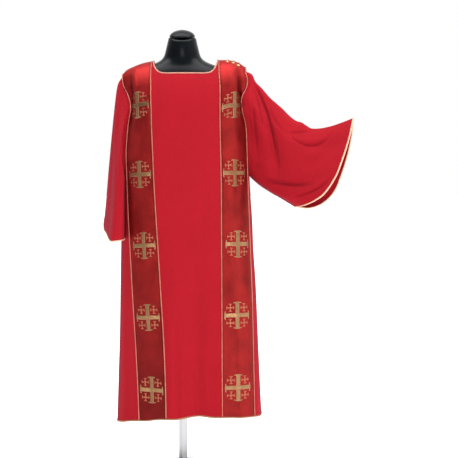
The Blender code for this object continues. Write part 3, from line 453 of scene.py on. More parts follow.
# ---- Curves ----
def smooth(at, knots, values):
    """Cubic curve through a table's values, whose tangents are those of the neighbouring values."""
    at = np.clip(np.asarray(at, float), knots[0], knots[-1])
    values = np.asarray(values, float)
    tangents = np.gradient(values, knots, axis=0)
    i = np.clip(np.searchsorted(knots, at, side="right") - 1, 0, len(knots) - 2)
    width = knots[i + 1] - knots[i]
    t = (at - knots[i]) / width
    if values.ndim > 1:
        t, width = t[..., None], width[..., None]
    return (
        (2 * t**3 - 3 * t**2 + 1) * values[i]
        + (t**3 - 2 * t**2 + t) * width * tangents[i]
        + (3 * t**2 - 2 * t**3) * values[i + 1]
        + (t**3 - t**2) * width * tangents[i + 1]
    )


def lengths(points, axis=0):
    """The distance travelled along lines of points, from 0 at their start."""
    steps = np.linalg.norm(np.diff(points, axis=axis), axis=-1)
    zero = np.zeros_like(np.take(steps, [0], axis=axis))
    return np.cumsum(np.concatenate([zero, steps], axis=axis), axis=axis)


def shares(points):
    """How far along a line of points each is, from 0 to 1."""
    far = lengths(points)
    return far / far[-1]


def along(points, at):
    """The places at these shares of the length of a smooth line through the points."""
    return smooth(at, shares(points), points)


def rows_of(columns):
    """A table's x, y and z as rows of points."""
    return np.stack([columns["x"], columns["y"], columns["z"]], axis=1)


def unit(vectors):
    """The vectors, each made one long."""
    return vectors / np.linalg.norm(vectors, axis=-1, keepdims=True)


def refined(counts):
    """Places along a run of knots, with each interval cut into its count of steps."""
    steps = [k + np.arange(n) / n for k, n in enumerate(counts)]
    return np.append(np.concatenate(steps), len(counts))


# ---- Panels ----
LINE_NAMES = ("outer_right", "inner_right", "inner_left", "outer_left")
LINE_NUMBERS = (-3, -2, -1, 1, 2, 3)  # the right side seam, the four pipings, and the left side seam
SIDE_STEPS = (8, 6, 1, 4, 7, 7, 7, 7, 4, 3)
NECK_STEPS = (1, 1, 2, 3, 4, 9, 9, 9, 9, 4, 3, 2, 1, 1)
COLUMN_STEPS = SIDE_STEPS + NECK_STEPS + SIDE_STEPS[::-1]
COLUMNS = refined(COLUMN_STEPS)  # 0 at the right side seam, 10 to 24 round the neck, 34 at the left
COLUMN_AT = np.cumsum((0,) + COLUMN_STEPS)  # where each whole number is among the columns
COLUMN_END, NECK_FIRST, NECK_LAST, OUTER_LEFT = 34, 10, 24, 30  # the last two are the slit's ends
BAND_EDGES = {"right": (4, 8), "left": (26, 30)}
ROWS = refined((10,) * 9 + (8,) * 6 + (11,) * 6)
UNDERARM_AT, CHEST_AT, SHOULDER_AT = 9, 15, 21  # among the rows' whole numbers, with 0 at the hem
UNDERARM_ROW = 90  # and where the first of them is among the rows
STATIONS = np.interp(
    refined((13,) * 10), np.arange(11), (0.0, 0.07, 0.16, 0.27, 0.38, 0.49, 0.60, 0.71, 0.81, 0.91, 1.0)
)


class Plan:
    """The garment's outline at every height, measured along the cloth of one face."""

    def __init__(self, face):
        heights = PLAN_LOW + PLAN_STEP * np.arange(PLAN_COUNT)
        row = {name: smooth(heights, SECTIONS["height"], SECTIONS[name])[:, None] for name in SECTIONS}
        lines = LINES_FRONT if face == "front" else LINES_BACK
        turn = np.sin(np.linspace(-math.pi / 2, math.pi / 2, PLAN_POINTS))[None]
        square = np.where(turn < 0, row["square_right"], row["square_left"])
        self.depth = row[face] * (1 - np.abs(turn) ** square) ** (1 / square)
        self.x = (row["left"] + row["right"]) / 2 + (row["left"] - row["right"]) / 2 * turn
        self.length = lengths(np.stack([self.x, self.depth], axis=-1), axis=1)
        places = [smooth(heights, lines["height"], lines[name]) for name in LINE_NAMES]
        places = np.stack([row["right"][:, 0], *places, row["left"][:, 0]], axis=1)
        self.stops = np.array([np.interp(p, x, far) for p, x, far in zip(places, self.x, self.length)])

    def at(self, height, line, offset):
        """X and depth at a height, of a place given by a line's number and an offset from it."""
        height, line, offset = np.broadcast_arrays(height, line, offset)
        step = np.clip((height - PLAN_LOW) / PLAN_STEP, 0, PLAN_COUNT - 1.001)
        low = step.astype(int)
        found = np.empty((2,) + height.shape)
        for k in np.unique(low):
            here = low == k
            share = step[here] - k
            ends = []
            for row in (k, k + 1):
                wanted = np.interp(line[here], LINE_NUMBERS, self.stops[row]) + offset[here]
                ends.append([np.interp(wanted, self.length[row], side[row]) for side in (self.x, self.depth)])
            found[:, here] = np.array(ends[0]) * (1 - share) + np.array(ends[1]) * share
        return found


def neck_curve():
    """X and the two heights of the neck's edge at the columns round the neck."""
    curve = np.stack([NECK["x"], NECK["front"], NECK["back"]], axis=1)
    far = shares(curve[:, :2])
    here = (COLUMNS >= NECK_FIRST) & (COLUMNS <= NECK_LAST)
    return here, smooth(np.interp(COLUMNS[here] - NECK_FIRST, np.arange(len(far)), far), far, curve)


def column_places(width):
    """A line's number and an offset from it, for every column of rows beside an armhole, where width is the
    share of the side that is cloth, and 1 below the underarm."""
    half = PIPING_WIDTH / 2
    from_side = np.minimum(COLUMNS, COLUMN_END - COLUMNS)
    line = np.interp(from_side, (2, 3, 4, 8, 9, 10), (-2, -2, -2, -1, -1, -1))
    offset = np.interp(from_side, (2, 3, 4, 5, 7, 8, 9), (-BAND_MARGIN, -half, half, 0, 0, -half, half))
    mirror = np.where(COLUMNS > COLUMN_END / 2, -1, 1)
    line, offset = line * mirror, offset * mirror
    first = LINES_FRONT["inner_right"][-1] + half
    last = LINES_FRONT["inner_left"][-1] - half
    here, neck = neck_curve()
    line[here] = -1 + 2 * (neck[:, 0] - first) / (last - first)
    offset[here] = 0
    for start, end in ((NECK_FIRST - 1, NECK_FIRST), (NECK_LAST, NECK_LAST + 1)):
        between = (COLUMNS > start) & (COLUMNS < end)
        k = [COLUMN_AT[start], COLUMN_AT[end]]
        line[between] = np.interp(COLUMNS[between], (start, end), line[k])
        offset[between] = np.interp(COLUMNS[between], (start, end), offset[k])
    line, offset = np.tile(line, (len(width), 1)), np.tile(offset, (len(width), 1))
    width = np.asarray(width)[:, None]
    for side, place in ((-1, COLUMNS), (1, COLUMN_END - COLUMNS)):
        outside = place <= 2
        reach = np.interp(place[outside], (0, 1, 2), (1, 0.5, 0))
        open_edge = np.interp(place[outside], (0, 1, 2), (ARMHOLE_EDGE, ARMHOLE_MIDDLE, 0))
        margin = np.interp(place[outside], (1, 2), (0, BAND_MARGIN))
        line[:, outside] = side * (2 + reach * width)
        offset[:, outside] = side * (open_edge * (1 - width) + margin)
    return line, offset


def panel(face):
    """Grid of a panel's points, from the hem up to the shoulder seams and the neck."""
    outline = Plan(face)
    above = ROWS - UNDERARM_AT
    knots = np.arange(CHEST_AT - UNDERARM_AT + 1)
    share = np.where(above > 0, smooth(above, knots, ARMHOLE_ROUND), 0)
    width = np.where(above > 0, np.clip(smooth(above, knots, ARMHOLE_WIDTH), 0, 1), 1)
    width = np.where(above >= 3, 0, width)
    line, offset = column_places(width)
    hem = smooth(outline.at(HEM_LEVEL, line[0], offset[0])[0], HEM["x"], HEM[face])
    shoulder = outline.at(SHOULDER_LEVEL, line[0], offset[0])[0]
    shoulder = smooth(shoulder, SHOULDER_LINE["x"], SHOULDER_LINE["height"])
    top = shoulder.copy()
    here, neck = neck_curve()
    top[here] = neck[:, 1 if face == "front" else 2]
    turn_top = np.arccos(np.clip(1 - (shoulder - top) / SHOULDER_DROP, -1, 1))
    turn_top[COLUMN_AT[[NECK_FIRST, NECK_LAST]]] = 0
    rows = ROWS[:, None]
    step = np.clip((rows - CHEST_AT) / (SHOULDER_AT - CHEST_AT), 0, 1)
    turn = math.pi / 2 + (turn_top - math.pi / 2) * step
    skirt = hem + rows / UNDERARM_AT * (UNDERARM - hem)
    chest = UNDERARM + share[:, None] * (shoulder - SHOULDER_DROP - UNDERARM)
    levels = shoulder - SHOULDER_DROP * (1 - np.cos(turn))
    levels = np.where(rows <= UNDERARM_AT, skirt, np.where(rows <= CHEST_AT, chest, levels))
    x, depth = outline.at(levels, line, offset)
    side = -1 if face == "front" else 1
    return np.stack([x, side * depth * np.sin(turn), levels], axis=2)


def eased(share):
    """The share kept from 0 to 1, with a slow start and a slow end."""
    share = np.clip(share, 0, 1)
    return share * share * (3 - 2 * share)


def fold_depth(folds, x, z):
    """How far the folds of a table press the cloth in at each place, and how deep the narrow ones among them
    lie, which the finishes darken as painted shade."""
    total, narrow = np.zeros(np.shape(x)), np.zeros(np.shape(x))
    for k in range(len(folds["depth"])):
        start = np.array([folds["start_x"][k], folds["start_z"][k]])
        run = np.array([folds["end_x"][k], folds["end_z"][k]]) - start
        size = np.linalg.norm(run)
        ahead, aside = run / size, np.array([run[1], -run[0]]) / size
        t = ((x - start[0]) * ahead[0] + (z - start[1]) * ahead[1]) / size
        inside = np.clip(t, 0, 1)
        off = (x - start[0]) * aside[0] + (z - start[1]) * aside[1]
        off = np.abs(off - 4 * folds["bow"][k] * inside * (1 - inside)) / folds["width"][k]
        trough = np.exp(-(off ** (2 - folds["sharp"][k])))
        lips = np.exp(-(((off - LIPS_AT) / LIPS_WIDE) ** 2))
        taper = np.sin(math.pi * inside) ** (0.8 - 0.6 * folds["sharp"][k])
        total += folds["depth"][k] * taper * (trough - folds["lips"][k] * lips)
        slimness = min(1, (NARROW_FOLD / folds["width"][k]) ** 2)
        narrow += max(folds["depth"][k], 0) * taper * trough * slimness
    return total, narrow


def creased(points, folds, face):
    """The points with the folds pressed in square on, apart from the shoulder seams and side seams, and how
    deep each lies in a narrow fold."""
    free = eased(np.abs(points[..., 1]) / SIDE_STRIP)
    depth, narrow = fold_depth(folds, points[..., 0], points[..., 2])
    pressed = points.copy()
    pressed[..., 1] += depth * free if face == "front" else -depth * free
    return pressed, narrow * free


# ---- Sleeves ----
def filled_out(points):
    """The hanging sleeve, with the inner edge of its front brought towards the body."""
    x, y, z = (points[..., k] for k in range(3))
    inner, front, low = FILLED_FROM
    inwards, forwards, down = FILLED_OVER
    share = eased((front - y) / forwards) * eased((x - inner) / inwards) * eased((low - z) / down)
    brought = points.copy()
    brought[..., 0] += FILLED_OUT * share
    return brought


def patch(armhole, top, seam, cuff):
    """Coons patch between four smooth lines. armhole and cuff run from the top to the seam."""
    t = shares(armhole)
    cuff = along(cuff, t)
    top, seam = along(top, STATIONS), along(seam, STATIONS)
    s, t = STATIONS[:, None, None], t[None, :, None]
    return (
        (1 - s) * armhole[None] + s * cuff[None] + (1 - t) * top[:, None] + t * seam[:, None]
        - (1 - s) * ((1 - t) * armhole[0] + t * armhole[-1])
        - s * ((1 - t) * cuff[0] + t * cuff[-1])
    )


def sleeve(front, back, column, top, seam, cuffs, folds):
    """Rings of a sleeve, from the armhole edge of the two panels to the cuff, and how deep each point lies in
    a narrow fold."""
    layers = []
    for edge, cuff, table_of_folds in zip((front, back), cuffs, folds):
        armhole = edge[UNDERARM_ROW:, column][::-1]
        upper = np.vstack([armhole[:1], rows_of(top)])
        lower = np.vstack([armhole[-1:], rows_of(seam)])
        layer = patch(armhole, upper, lower, np.vstack([upper[-1:], rows_of(cuff), lower[-1:]]))
        free = np.clip(STATIONS / SLEEVE_STRIP, 0, 1)[:, None] * np.sin(math.pi * shares(armhole)) ** 0.4
        away = np.array([0, 1 if edge is front else -1, 0])
        press, narrow = (values * free for values in fold_depth(table_of_folds, layer[..., 0], layer[..., 2]))
        layers.append(np.concatenate([layer + press[..., None] * away, narrow[..., None]], axis=-1))
    both = np.concatenate([layers[0], layers[1][:, -2:0:-1]], axis=1)
    return both[..., :3], both[..., 3]


# ---- Grids as cloth ----
class Cloth:
    """A grid of points with their normals, and its painted shade, from how deep each lies in a narrow fold.
    turned is set where rows by columns would face inwards."""

    def __init__(self, points, hollow, closed=False, turned=False):
        self.points, self.hollow, self.closed, self.turned = points, hollow, closed, turned
        self.normals = np.zeros_like(points)

    def face_normals(self):
        """Each vertex's sum of the normals of the faces round it."""
        ring = np.concatenate([self.points, self.points[:, :1]], axis=1) if self.closed else self.points
        cross = np.cross(ring[1:, 1:] - ring[:-1, :-1], ring[1:, :-1] - ring[:-1, 1:])
        cross *= -1 if self.turned else 1
        total = np.zeros_like(ring)
        for rows in (np.s_[:-1], np.s_[1:]):
            for columns in (np.s_[:-1], np.s_[1:]):
                total[rows, columns] += cross
        if self.closed:
            total[:, 0] += total[:, -1]
            total = total[:, :-1]
        return total

    def part(self, rows, columns):
        """The same points and normals over some of the rows and columns."""
        piece = Cloth(self.points[rows, columns].copy(), self.hollow[rows, columns], False, self.turned)
        piece.normals = self.normals[rows, columns].copy()
        return piece


def join_normals(cloths):
    """Gives every point its normal, the same one for the pieces that meet at a seam."""
    points = np.concatenate([cloth.points.reshape(-1, 3) for cloth in cloths])
    pushes = np.concatenate([cloth.face_normals().reshape(-1, 3) for cloth in cloths])
    _, same = np.unique(np.round(points, 6), axis=0, return_inverse=True)
    total = np.zeros((same.max() + 1, 3))
    np.add.at(total, same.ravel(), pushes)
    normals = total[same.ravel()]
    normals /= np.maximum(np.linalg.norm(normals, axis=1, keepdims=True), 1e-12)
    start = 0
    for cloth in cloths:
        count = cloth.normals[..., 0].size
        cloth.normals = normals[start : start + count].reshape(cloth.points.shape)
        start += count


def drawn_back(cloth, edges):
    """The points with each named edge moved in by a distance, square to its normals."""
    points = cloth.points.copy()
    views = {
        "bottom": (np.s_[0], np.s_[1]),
        "top": (np.s_[-1], np.s_[-2]),
        "first": (np.s_[:, 0], np.s_[:, 1]),
        "last": (np.s_[:, -1], np.s_[:, -2]),
    }
    for name, distance in edges.items():
        edge, inner = views[name]
        move = points[inner] - points[edge]
        normal = cloth.normals[edge]
        move -= (move * normal).sum(-1, keepdims=True) * normal
        size = np.linalg.norm(move, axis=-1, keepdims=True)
        points[edge] += move / size * np.minimum(distance, size * 0.9)
    return points


def pulled_in(cloth, points, edges):
    """The points with the cloth near each named edge sunk a little, as a sewn seam draws it in."""
    sunk = np.zeros(points.shape[:2])
    for name in edges:
        line = {
            "top": points[-1:], "bottom": points[:1], "first": points[:, :1], "last": points[:, -1:]
        }[name]
        off = np.linalg.norm(points - line, axis=-1)
        sunk = np.maximum(sunk, np.exp(-((off / SEAM_WIDE) ** 2)))
    return points - cloth.normals * (SEAM_SUNK * sunk)[..., None]


def grid_quads(rows, columns, closed):
    """The corners of a grid's quads, as row and column. In a closed grid the last column is the first."""
    r, c = np.meshgrid(np.arange(rows - 1), np.arange(columns if closed else columns - 1), indexing="ij")
    r, c = r.ravel(), c.ravel()
    return np.stack([r, r, r + 1, r + 1], axis=1), np.stack([c, c + 1, c + 1, c], axis=1)


def add_mesh(name, vertices, faces, uv, **values):
    """A smooth-shaded object from vertices and faces, with a UV pair for every corner of every face, and the
    named values that its finish reads at every vertex."""
    mesh = bpy.data.meshes.new(name)
    mesh.from_pydata(np.asarray(vertices).tolist(), [], [list(map(int, face)) for face in faces])
    mesh.uv_layers.new(name="cloth").data.foreach_set("uv", np.asarray(uv, np.float32).ravel())
    for key, value in values.items():
        attribute = mesh.attributes.new(key, "FLOAT", "POINT")
        attribute.data.foreach_set("value", np.asarray(value, np.float32))
    mesh.validate()
    mesh.shade_smooth()
    mesh.set_sharp_from_angle(angle=math.radians(SHARP_EDGE))
    made = bpy.data.objects.new(name, mesh)
    bpy.context.scene.collection.objects.link(made)
    return made


def faced_outwards(piece):
    """The piece with its faces' normals worked out again."""
    shape = bmesh.new()
    shape.from_mesh(piece.data)
    bmesh.ops.recalc_face_normals(shape, faces=shape.faces)
    shape.to_mesh(piece.data)
    shape.free()
    return piece


def shell(name, cloth, points, low, high):
    """A closed wall of the cloth from low to high above its points, with its UVs measured along the cloth."""
    rows, columns = points.shape[:2]
    outer = points + cloth.normals * high
    inner = points + cloth.normals * low
    index = np.arange(rows * columns).reshape(rows, columns)
    count = rows * columns
    r, c = grid_quads(rows, columns, cloth.closed)
    quads = index[r, c % columns]
    ring = np.concatenate([points, points[:, :1]], axis=1) if cloth.closed else points
    across, up = lengths(ring, axis=1), lengths(ring, axis=0)
    across -= across[:, across.shape[1] // 2][:, None]
    uv = np.stack([across[r, c], up[r, c]], axis=-1)
    turn = np.s_[:, ::-1] if cloth.turned else np.s_[:, :]
    back = np.s_[:, :] if cloth.turned else np.s_[:, ::-1]
    faces = [quads[turn], quads[back] + count]
    corner_uv = [uv[turn], uv[back]]
    if cloth.closed:
        wide = np.append(np.arange(columns), 0)
        rims = [index[0, wide], index[-1, wide[::-1]]]
    else:
        rims = [np.concatenate([index[0, :-1], index[:-1, -1], index[-1, :0:-1], index[::-1, 0]])]
    flat_uv = np.stack([across[:, :columns].ravel(), up[:, :columns].ravel()], axis=1)
    for rim in rims:
        a, b = rim[:-1], rim[1:]
        sides = np.stack([a, a + count, b + count, b], axis=1)
        sides = sides[:, ::-1] if cloth.turned else sides
        faces.append(sides)
        corner_uv.append(flat_uv[sides % count])
    vertices = np.concatenate([outer.reshape(-1, 3), inner.reshape(-1, 3)])
    uv = np.concatenate(corner_uv).reshape(-1, 2)
    # the crease value is the painted shade that the finishes darken by
    return add_mesh(name, vertices, np.concatenate(faces), uv, crease=np.tile(cloth.hollow.ravel(), 2))


def tube(name, rings, closed, around):
    """A tube through rings of points. around is the length once round, for its UVs."""
    rings = np.asarray(rings)
    count, sides = rings.shape[:2]
    index = np.arange(count * sides).reshape(count, sides)
    middle = rings.mean(axis=1)
    far = lengths(np.vstack([middle, middle[:1]]))
    r, c = grid_quads(count + 1 if closed else count, sides, True)
    faces = index[r % count, c % sides].tolist()
    uv = [tuple(p) for p in np.stack([c / sides * around, far[r]], axis=-1).reshape(-1, 2)]
    if not closed:
        faces += [index[0, ::-1].tolist(), index[-1].tolist()]
        uv += [(0.5 * around, 0.0)] * (2 * sides)
    return faced_outwards(add_mesh(name, rings.reshape(-1, 3), faces, uv))


def slit_opened(points):
    """The front's points, with the cloth along the shoulder slit slipped down a little, so that it gapes."""
    points = points.copy()
    first, last = COLUMN_AT[NECK_LAST], COLUMN_AT[OUTER_LEFT] + 1
    far = lengths(points, axis=0)
    for column in range(first, last):
        gape = SLIT_GAPE * math.sin(math.pi * (column - first) / (last - first)) ** 0.7
        wanted = far[:, column] - gape * eased(1 - (far[-1, column] - far[:, column]) / SLIT_REACH)
        points[:, column] = np.stack(
            [np.interp(wanted, far[:, column], points[:, column, axis]) for axis in range(3)], axis=1
        )
    return points


@functools.lru_cache(maxsize=None)
def garment():
    """The cloth of the whole garment: the two panels and the two sleeves."""
    grids = {"front": panel("front"), "back": panel("back")}
    for ends in (  # the two shoulder seams and the two side seams
        np.s_[-1, : COLUMN_AT[NECK_FIRST] + 1], np.s_[-1, COLUMN_AT[NECK_LAST] :],
        np.s_[: UNDERARM_ROW + 1, 0], np.s_[: UNDERARM_ROW + 1, -1],
    ):
        shared = (grids["front"][ends] + grids["back"][ends]) / 2
        grids["front"][ends] = grids["back"][ends] = shared
    cloths = {}
    for face, folds in (("front", FRONT_FOLDS), ("back", BACK_FOLDS)):
        grids[face], hollow = creased(grids[face], folds, face)
        opened = slit_opened(grids[face]) if face == "front" else grids[face]
        cloths[face] = Cloth(opened, hollow, turned=face == "back")
    left, hollow = sleeve(
        grids["front"], grids["back"], -1, LEFT_TOP, LEFT_SEAM, (LEFT_CUFF_FRONT, LEFT_CUFF_BACK),
        (LEFT_FRONT_FOLDS, LEFT_BACK_FOLDS),
    )
    cloths["sleeve_left"] = Cloth(left, hollow, closed=True)
    right, hollow = sleeve(
        grids["front"], grids["back"], 0, RIGHT_TOP, RIGHT_SEAM, (RIGHT_CUFF_FRONT, RIGHT_CUFF_BACK),
        (RIGHT_FRONT_FOLDS, RIGHT_BACK_FOLDS),
    )
    cloths["sleeve_right"] = Cloth(filled_out(right), hollow, closed=True, turned=True)
    join_normals(list(cloths.values()))
    for cloth in cloths.values():
        cloth.points[..., 2] += RAISED
    return cloths


# ---- Finishes ----
class Finish:
    """A material whose nodes are added one at a time."""

    def __init__(self, name, colour, roughness, metallic=0.0, **settings):
        self.material = bpy.data.materials.new(name)
        self.material.use_nodes = True
        self.tree = self.material.node_tree
        self.shader = self.tree.nodes["Principled BSDF"]
        values = {"Base Color": colour, "Roughness": roughness, "Metallic": metallic}
        values.update({key.replace("_", " "): value for key, value in settings.items()})
        for key, value in values.items():
            self.shader.inputs[key].default_value = (*value, 1.0) if hasattr(value, "__len__") else value
        self.material.diffuse_color = (*colour, 1.0)
        places = self.add("ShaderNodeTexCoord").outputs
        self.place, self.uv = places["Object"], places["UV"]

    def add(self, kind, inputs=None, **settings):
        """A node with its settings, and with its inputs set to values or linked to other nodes' outputs."""
        made = self.tree.nodes.new(kind)
        for key, value in settings.items():
            setattr(made, key, value)
        for key, value in (inputs or {}).items():
            if isinstance(value, bpy.types.NodeSocket):
                self.tree.links.new(value, made.inputs[key])
            else:
                made.inputs[key].default_value = value
        return made

    def math(self, operation, first, second=0.0, clamp=False):
        """One or two values put through an operation."""
        made = self.add("ShaderNodeMath", {0: first, 1: second}, operation=operation, use_clamp=clamp)
        return made.outputs[0]

    def ramp(self, source, low, high, to_low=0.0, to_high=1.0):
        """The source from low to high, taken to another range and kept within it."""
        made = self.add(
            "ShaderNodeMapRange",
            {"Value": source, "From Min": low, "From Max": high, "To Min": to_low, "To Max": to_high},
        )
        return made.outputs["Result"]

    def mixed(self, share, first, second):
        """The first colour where the share is 0, the second where it is 1."""
        made = self.add("ShaderNodeMix", data_type="RGBA")
        for socket, value in ((made.inputs[0], share), (made.inputs[6], first), (made.inputs[7], second)):
            if isinstance(value, bpy.types.NodeSocket):
                self.tree.links.new(value, socket)
            elif hasattr(value, "__len__"):
                socket.default_value = (*value, 1.0)
            else:
                socket.default_value = value
        return made.outputs[2]

    def stretched(self, source, scale, turn=0.0):
        """Coordinates scaled along each axis, and turned in the plane of the first two."""
        inputs = {"Vector": source, "Scale": scale, "Rotation": (0, 0, turn)}
        return self.add("ShaderNodeMapping", inputs).outputs[0]

    def along(self, source, axis):
        """One of the coordinates."""
        return self.add("ShaderNodeSeparateXYZ", {"Vector": source}).outputs[axis]

    def away(self, low, high, most):
        """From 0 to the most, as the surface turns away from the viewer between two shares."""
        facing = self.add("ShaderNodeLayerWeight", {"Blend": 0.5}).outputs["Facing"]
        return self.ramp(facing, low, high, 0.0, most)

    def noise(self, vector, scale, detail=3.0, roughness=0.5):
        """Clouds of values from 0 to 1, finer as the scale grows."""
        made = self.add(
            "ShaderNodeTexNoise", {"Vector": vector, "Scale": scale, "Detail": detail, "Roughness": roughness}
        )
        return made.outputs["Fac"]

    def waves(self, vector, pitch, direction="X"):
        """Ridges of one pitch, in metres."""
        inputs = {"Vector": vector, "Scale": math.pi / (10 * pitch)}
        return self.add("ShaderNodeTexWave", inputs, bands_direction=direction).outputs["Fac"]

    def slanted(self, degrees, pitch, direction):
        """Ridges of one pitch along the piece's own map, turned by an angle."""
        return self.waves(self.stretched(self.uv, (1, 1, 1), math.radians(degrees)), pitch, direction)

    def attribute(self, name):
        """A named value of the piece's vertices."""
        return self.add("ShaderNodeAttribute", attribute_name=name, attribute_type="GEOMETRY").outputs["Fac"]

    def bump(self, height, strength, distance):
        """Normals for a relief whose height is given from 0 to 1, and stands for a distance in metres."""
        inputs = {"Height": height, "Strength": strength, "Distance": distance}
        return self.add("ShaderNodeBump", inputs).outputs["Normal"]

    def set(self, **sockets):
        """Links the sockets of the shader, and gives the finished material."""
        for key, value in sockets.items():
            self.tree.links.new(value, self.shader.inputs[key.replace("_", " ")])
        return self.material


def shade(colour, *factors):
    """The colour times one factor, or times one for each of red, green and blue."""
    factors = factors * 3 if len(factors) == 1 else factors
    return tuple(channel * factor for channel, factor in zip(colour, factors))


def cloth_finish(colours):
    """Plain-weave wool: matt, with a fine weave, slight slubs, painted shade in its narrow folds, and a
    painted crimson shade where it turns away from the viewer.
    """
    red = tuple(colours.cloth)
    finish = Finish(
        "plain red cloth", red, 0.90, Sheen_Weight=0.10, Sheen_Roughness=0.5, Sheen_Tint=(1.0, 0.12, 0.18),
        Specular_IOR_Level=0.12,
    )
    slubs = finish.noise(finish.stretched(finish.uv, (420, 30, 1)), 1.0, 2.0)
    across = finish.noise(finish.stretched(finish.uv, (30, 420, 1)), 1.0, 2.0)
    patches = finish.noise(finish.place, 7.0, 3.0)
    tone = finish.math("ADD", finish.math("ADD", slubs, across), patches)
    colour = finish.mixed(finish.ramp(tone, 1.1, 1.9), shade(red, 0.93), shade(red, 1.07))
    # painted shade in the narrow folds
    deep = finish.ramp(finish.attribute("crease"), 0.0004, 0.007, 0.0, 0.55)
    colour = finish.mixed(deep, colour, shade(red, 0.60, 0.50, 0.62))
    # painted crimson shade where the cloth turns away from the viewer
    colour = finish.mixed(finish.away(0.50, 0.90, 0.85), colour, shade(red, 0.50, 0.70, 1.25))
    weave = finish.math("ADD", finish.waves(finish.uv, WEAVE, "X"), finish.waves(finish.uv, WEAVE, "Y"))
    weave = finish.math("ADD", weave, finish.math("ADD", slubs, across))
    return finish.set(Base_Color=colour, Normal=finish.bump(weave, 0.16, 0.0003))


def band_finish(colours):
    """Dark satin with a soft cloudy lustre and fine threads across it, with painted shade in its folds and
    beside the pipings.
    A painted highlight brightens it over the shoulders, and painted shade dulls it low on the wearer's right."""
    red = tuple(colours.band)
    finish = Finish(
        "dark red satin", red, 0.42, 0.55, Specular_IOR_Level=0.25, Specular_Tint=(1.0, 0.42, 0.36),
    )
    clouds = finish.noise(finish.place, 16.0, 4.0, 0.6)
    grain = finish.noise(finish.stretched(finish.uv, (120, 520, 1)), 1.0, 2.0)
    tone = finish.math("ADD", clouds, finish.math("MULTIPLY", grain, 0.35))
    colour = finish.mixed(finish.ramp(tone, 0.48, 0.88), shade(red, 0.76), shade(red, 1.24))
    # painted shade in the folds and painted shadow beside the pipings
    deep = finish.ramp(finish.attribute("crease"), 0.0, 1.0, 0.0, 0.85)
    colour = finish.mixed(deep, colour, shade(red, 0.38, 0.10, 0.12))
    # painted highlight over the shoulders, and painted shade low on the wearer's right
    height = finish.along(finish.place, "Z")
    right = finish.math("LESS_THAN", finish.along(finish.place, "X"), 0.0)
    dull = finish.math("MULTIPLY", finish.ramp(height, 0.68, 0.22, 0.0, 0.43), right)
    bright = finish.ramp(height, 1.36, 1.46, 0.0, 0.35)
    lustre = finish.math("SUBTRACT", finish.math("ADD", 1.0, bright), dull)
    colour = finish.add("ShaderNodeVectorMath", {0: colour, "Scale": lustre}, operation="SCALE").outputs[0]
    threads = finish.math("ADD", finish.waves(finish.uv, SATIN_THREADS, "Y"), grain)
    return finish.set(
        Base_Color=colour, Roughness=finish.ramp(clouds, 0.3, 0.7, 0.36, 0.46),
        Normal=finish.bump(threads, 0.14, 0.0002),
    )


def piping_finish(colours):
    """A cord of twisted gold thread, worn in patches, with painted shade on its sides where they turn from
    the viewer.
    """
    gold = tuple(colours.piping)
    finish = Finish("gold piping", gold, 0.42, 0.45, Specular_Tint=(1.0, 0.6, 0.5))
    twist, strands = finish.slanted(38, CORD_TWIST, "Y"), finish.slanted(38, CORD_STRANDS, "X")
    colour = finish.mixed(finish.ramp(twist, 0.15, 0.75), shade(gold, 0.62), shade(gold, 1.08))
    worn = finish.ramp(finish.noise(finish.place, 46.0, 2.0), 0.42, 0.62, 0.0, 0.4)
    # the cord's wear, and painted shade on its sides as they turn from the viewer
    dark = finish.math("ADD", finish.away(0.2, 0.8, 0.85), worn, clamp=True)
    colour = finish.mixed(dark, colour, shade(gold, 0.55, 0.35, 0.35))
    height = finish.math("ADD", twist, finish.math("MULTIPLY", strands, 0.2))
    return finish.set(Base_Color=colour, Normal=finish.bump(height, 0.5, 0.0006))


def binding_finish(name, pale, worn, around):
    """A narrow braid of gold, folded over an edge, worn to brown in places, and with painted brown shade
    where it meets the cloth.
    worn sets how strong both are, and around is the length once round it."""
    finish = Finish(name, pale, 0.45, 0.35, Specular_Tint=(1.0, 0.75, 0.6))
    strands = (finish.slanted(turn, BRAID_STRANDS, "Y") for turn in (30, -30))
    braid = finish.math("MAXIMUM", *strands)
    colour = finish.mixed(finish.ramp(braid, 0.35, 0.9), shade(pale, 0.72), shade(pale, 1.06))
    places = finish.ramp(finish.noise(finish.place, 9.0, 2.0), 0.44, 0.56, 0.0, 0.7 * worn)
    # painted shade: brown towards the braid's edges where it meets the cloth, added to the wear
    far = finish.math("ABSOLUTE", finish.math("SUBTRACT", finish.along(finish.uv, "X"), around / 2))
    places = finish.math("MAXIMUM", places, finish.ramp(far, 0.08 * around, 0.26 * around, 0.0, worn))
    colour = finish.mixed(places, colour, shade(pale, 0.26, 0.19, 0.13))
    return finish.set(Base_Color=colour, Normal=finish.bump(braid, 0.4, 0.0005))


def embroidery_finish(colours):
    """Gold thread couched in a diamond pattern across each arm, with a brighter corded outline."""
    gold = tuple(colours.embroidery)
    finish = Finish("gold embroidery", gold, 0.30, 1.0)
    stitches = finish.waves(finish.uv, STITCHES, "Y")
    couched = finish.math("MULTIPLY", *(finish.slanted(turn, COUCHING, "X") for turn in (45, -45)))
    patches = finish.noise(finish.place, 150.0, 3.0, 0.6)
    colour = finish.mixed(finish.ramp(patches, 0.38, 0.66), shade(gold, 0.66, 0.56, 0.46), gold)
    colour = finish.mixed(finish.ramp(couched, 0.05, 0.45), colour, shade(gold, 0.60))
    colour = finish.mixed(finish.ramp(stitches, 0.1, 0.7), shade(gold, 0.62), colour)
    colour = finish.mixed(finish.attribute("rim"), colour, shade(gold, 1.25, 1.30, 1.55))
    colour = finish.mixed(finish.attribute("thin"), colour, shade(gold, 0.95, 0.52, 0.60))
    height = finish.math("SUBTRACT", stitches, finish.math("MULTIPLY", couched, 0.8))
    return finish.set(Base_Color=colour, Normal=finish.bump(height, 0.35, 0.0005))


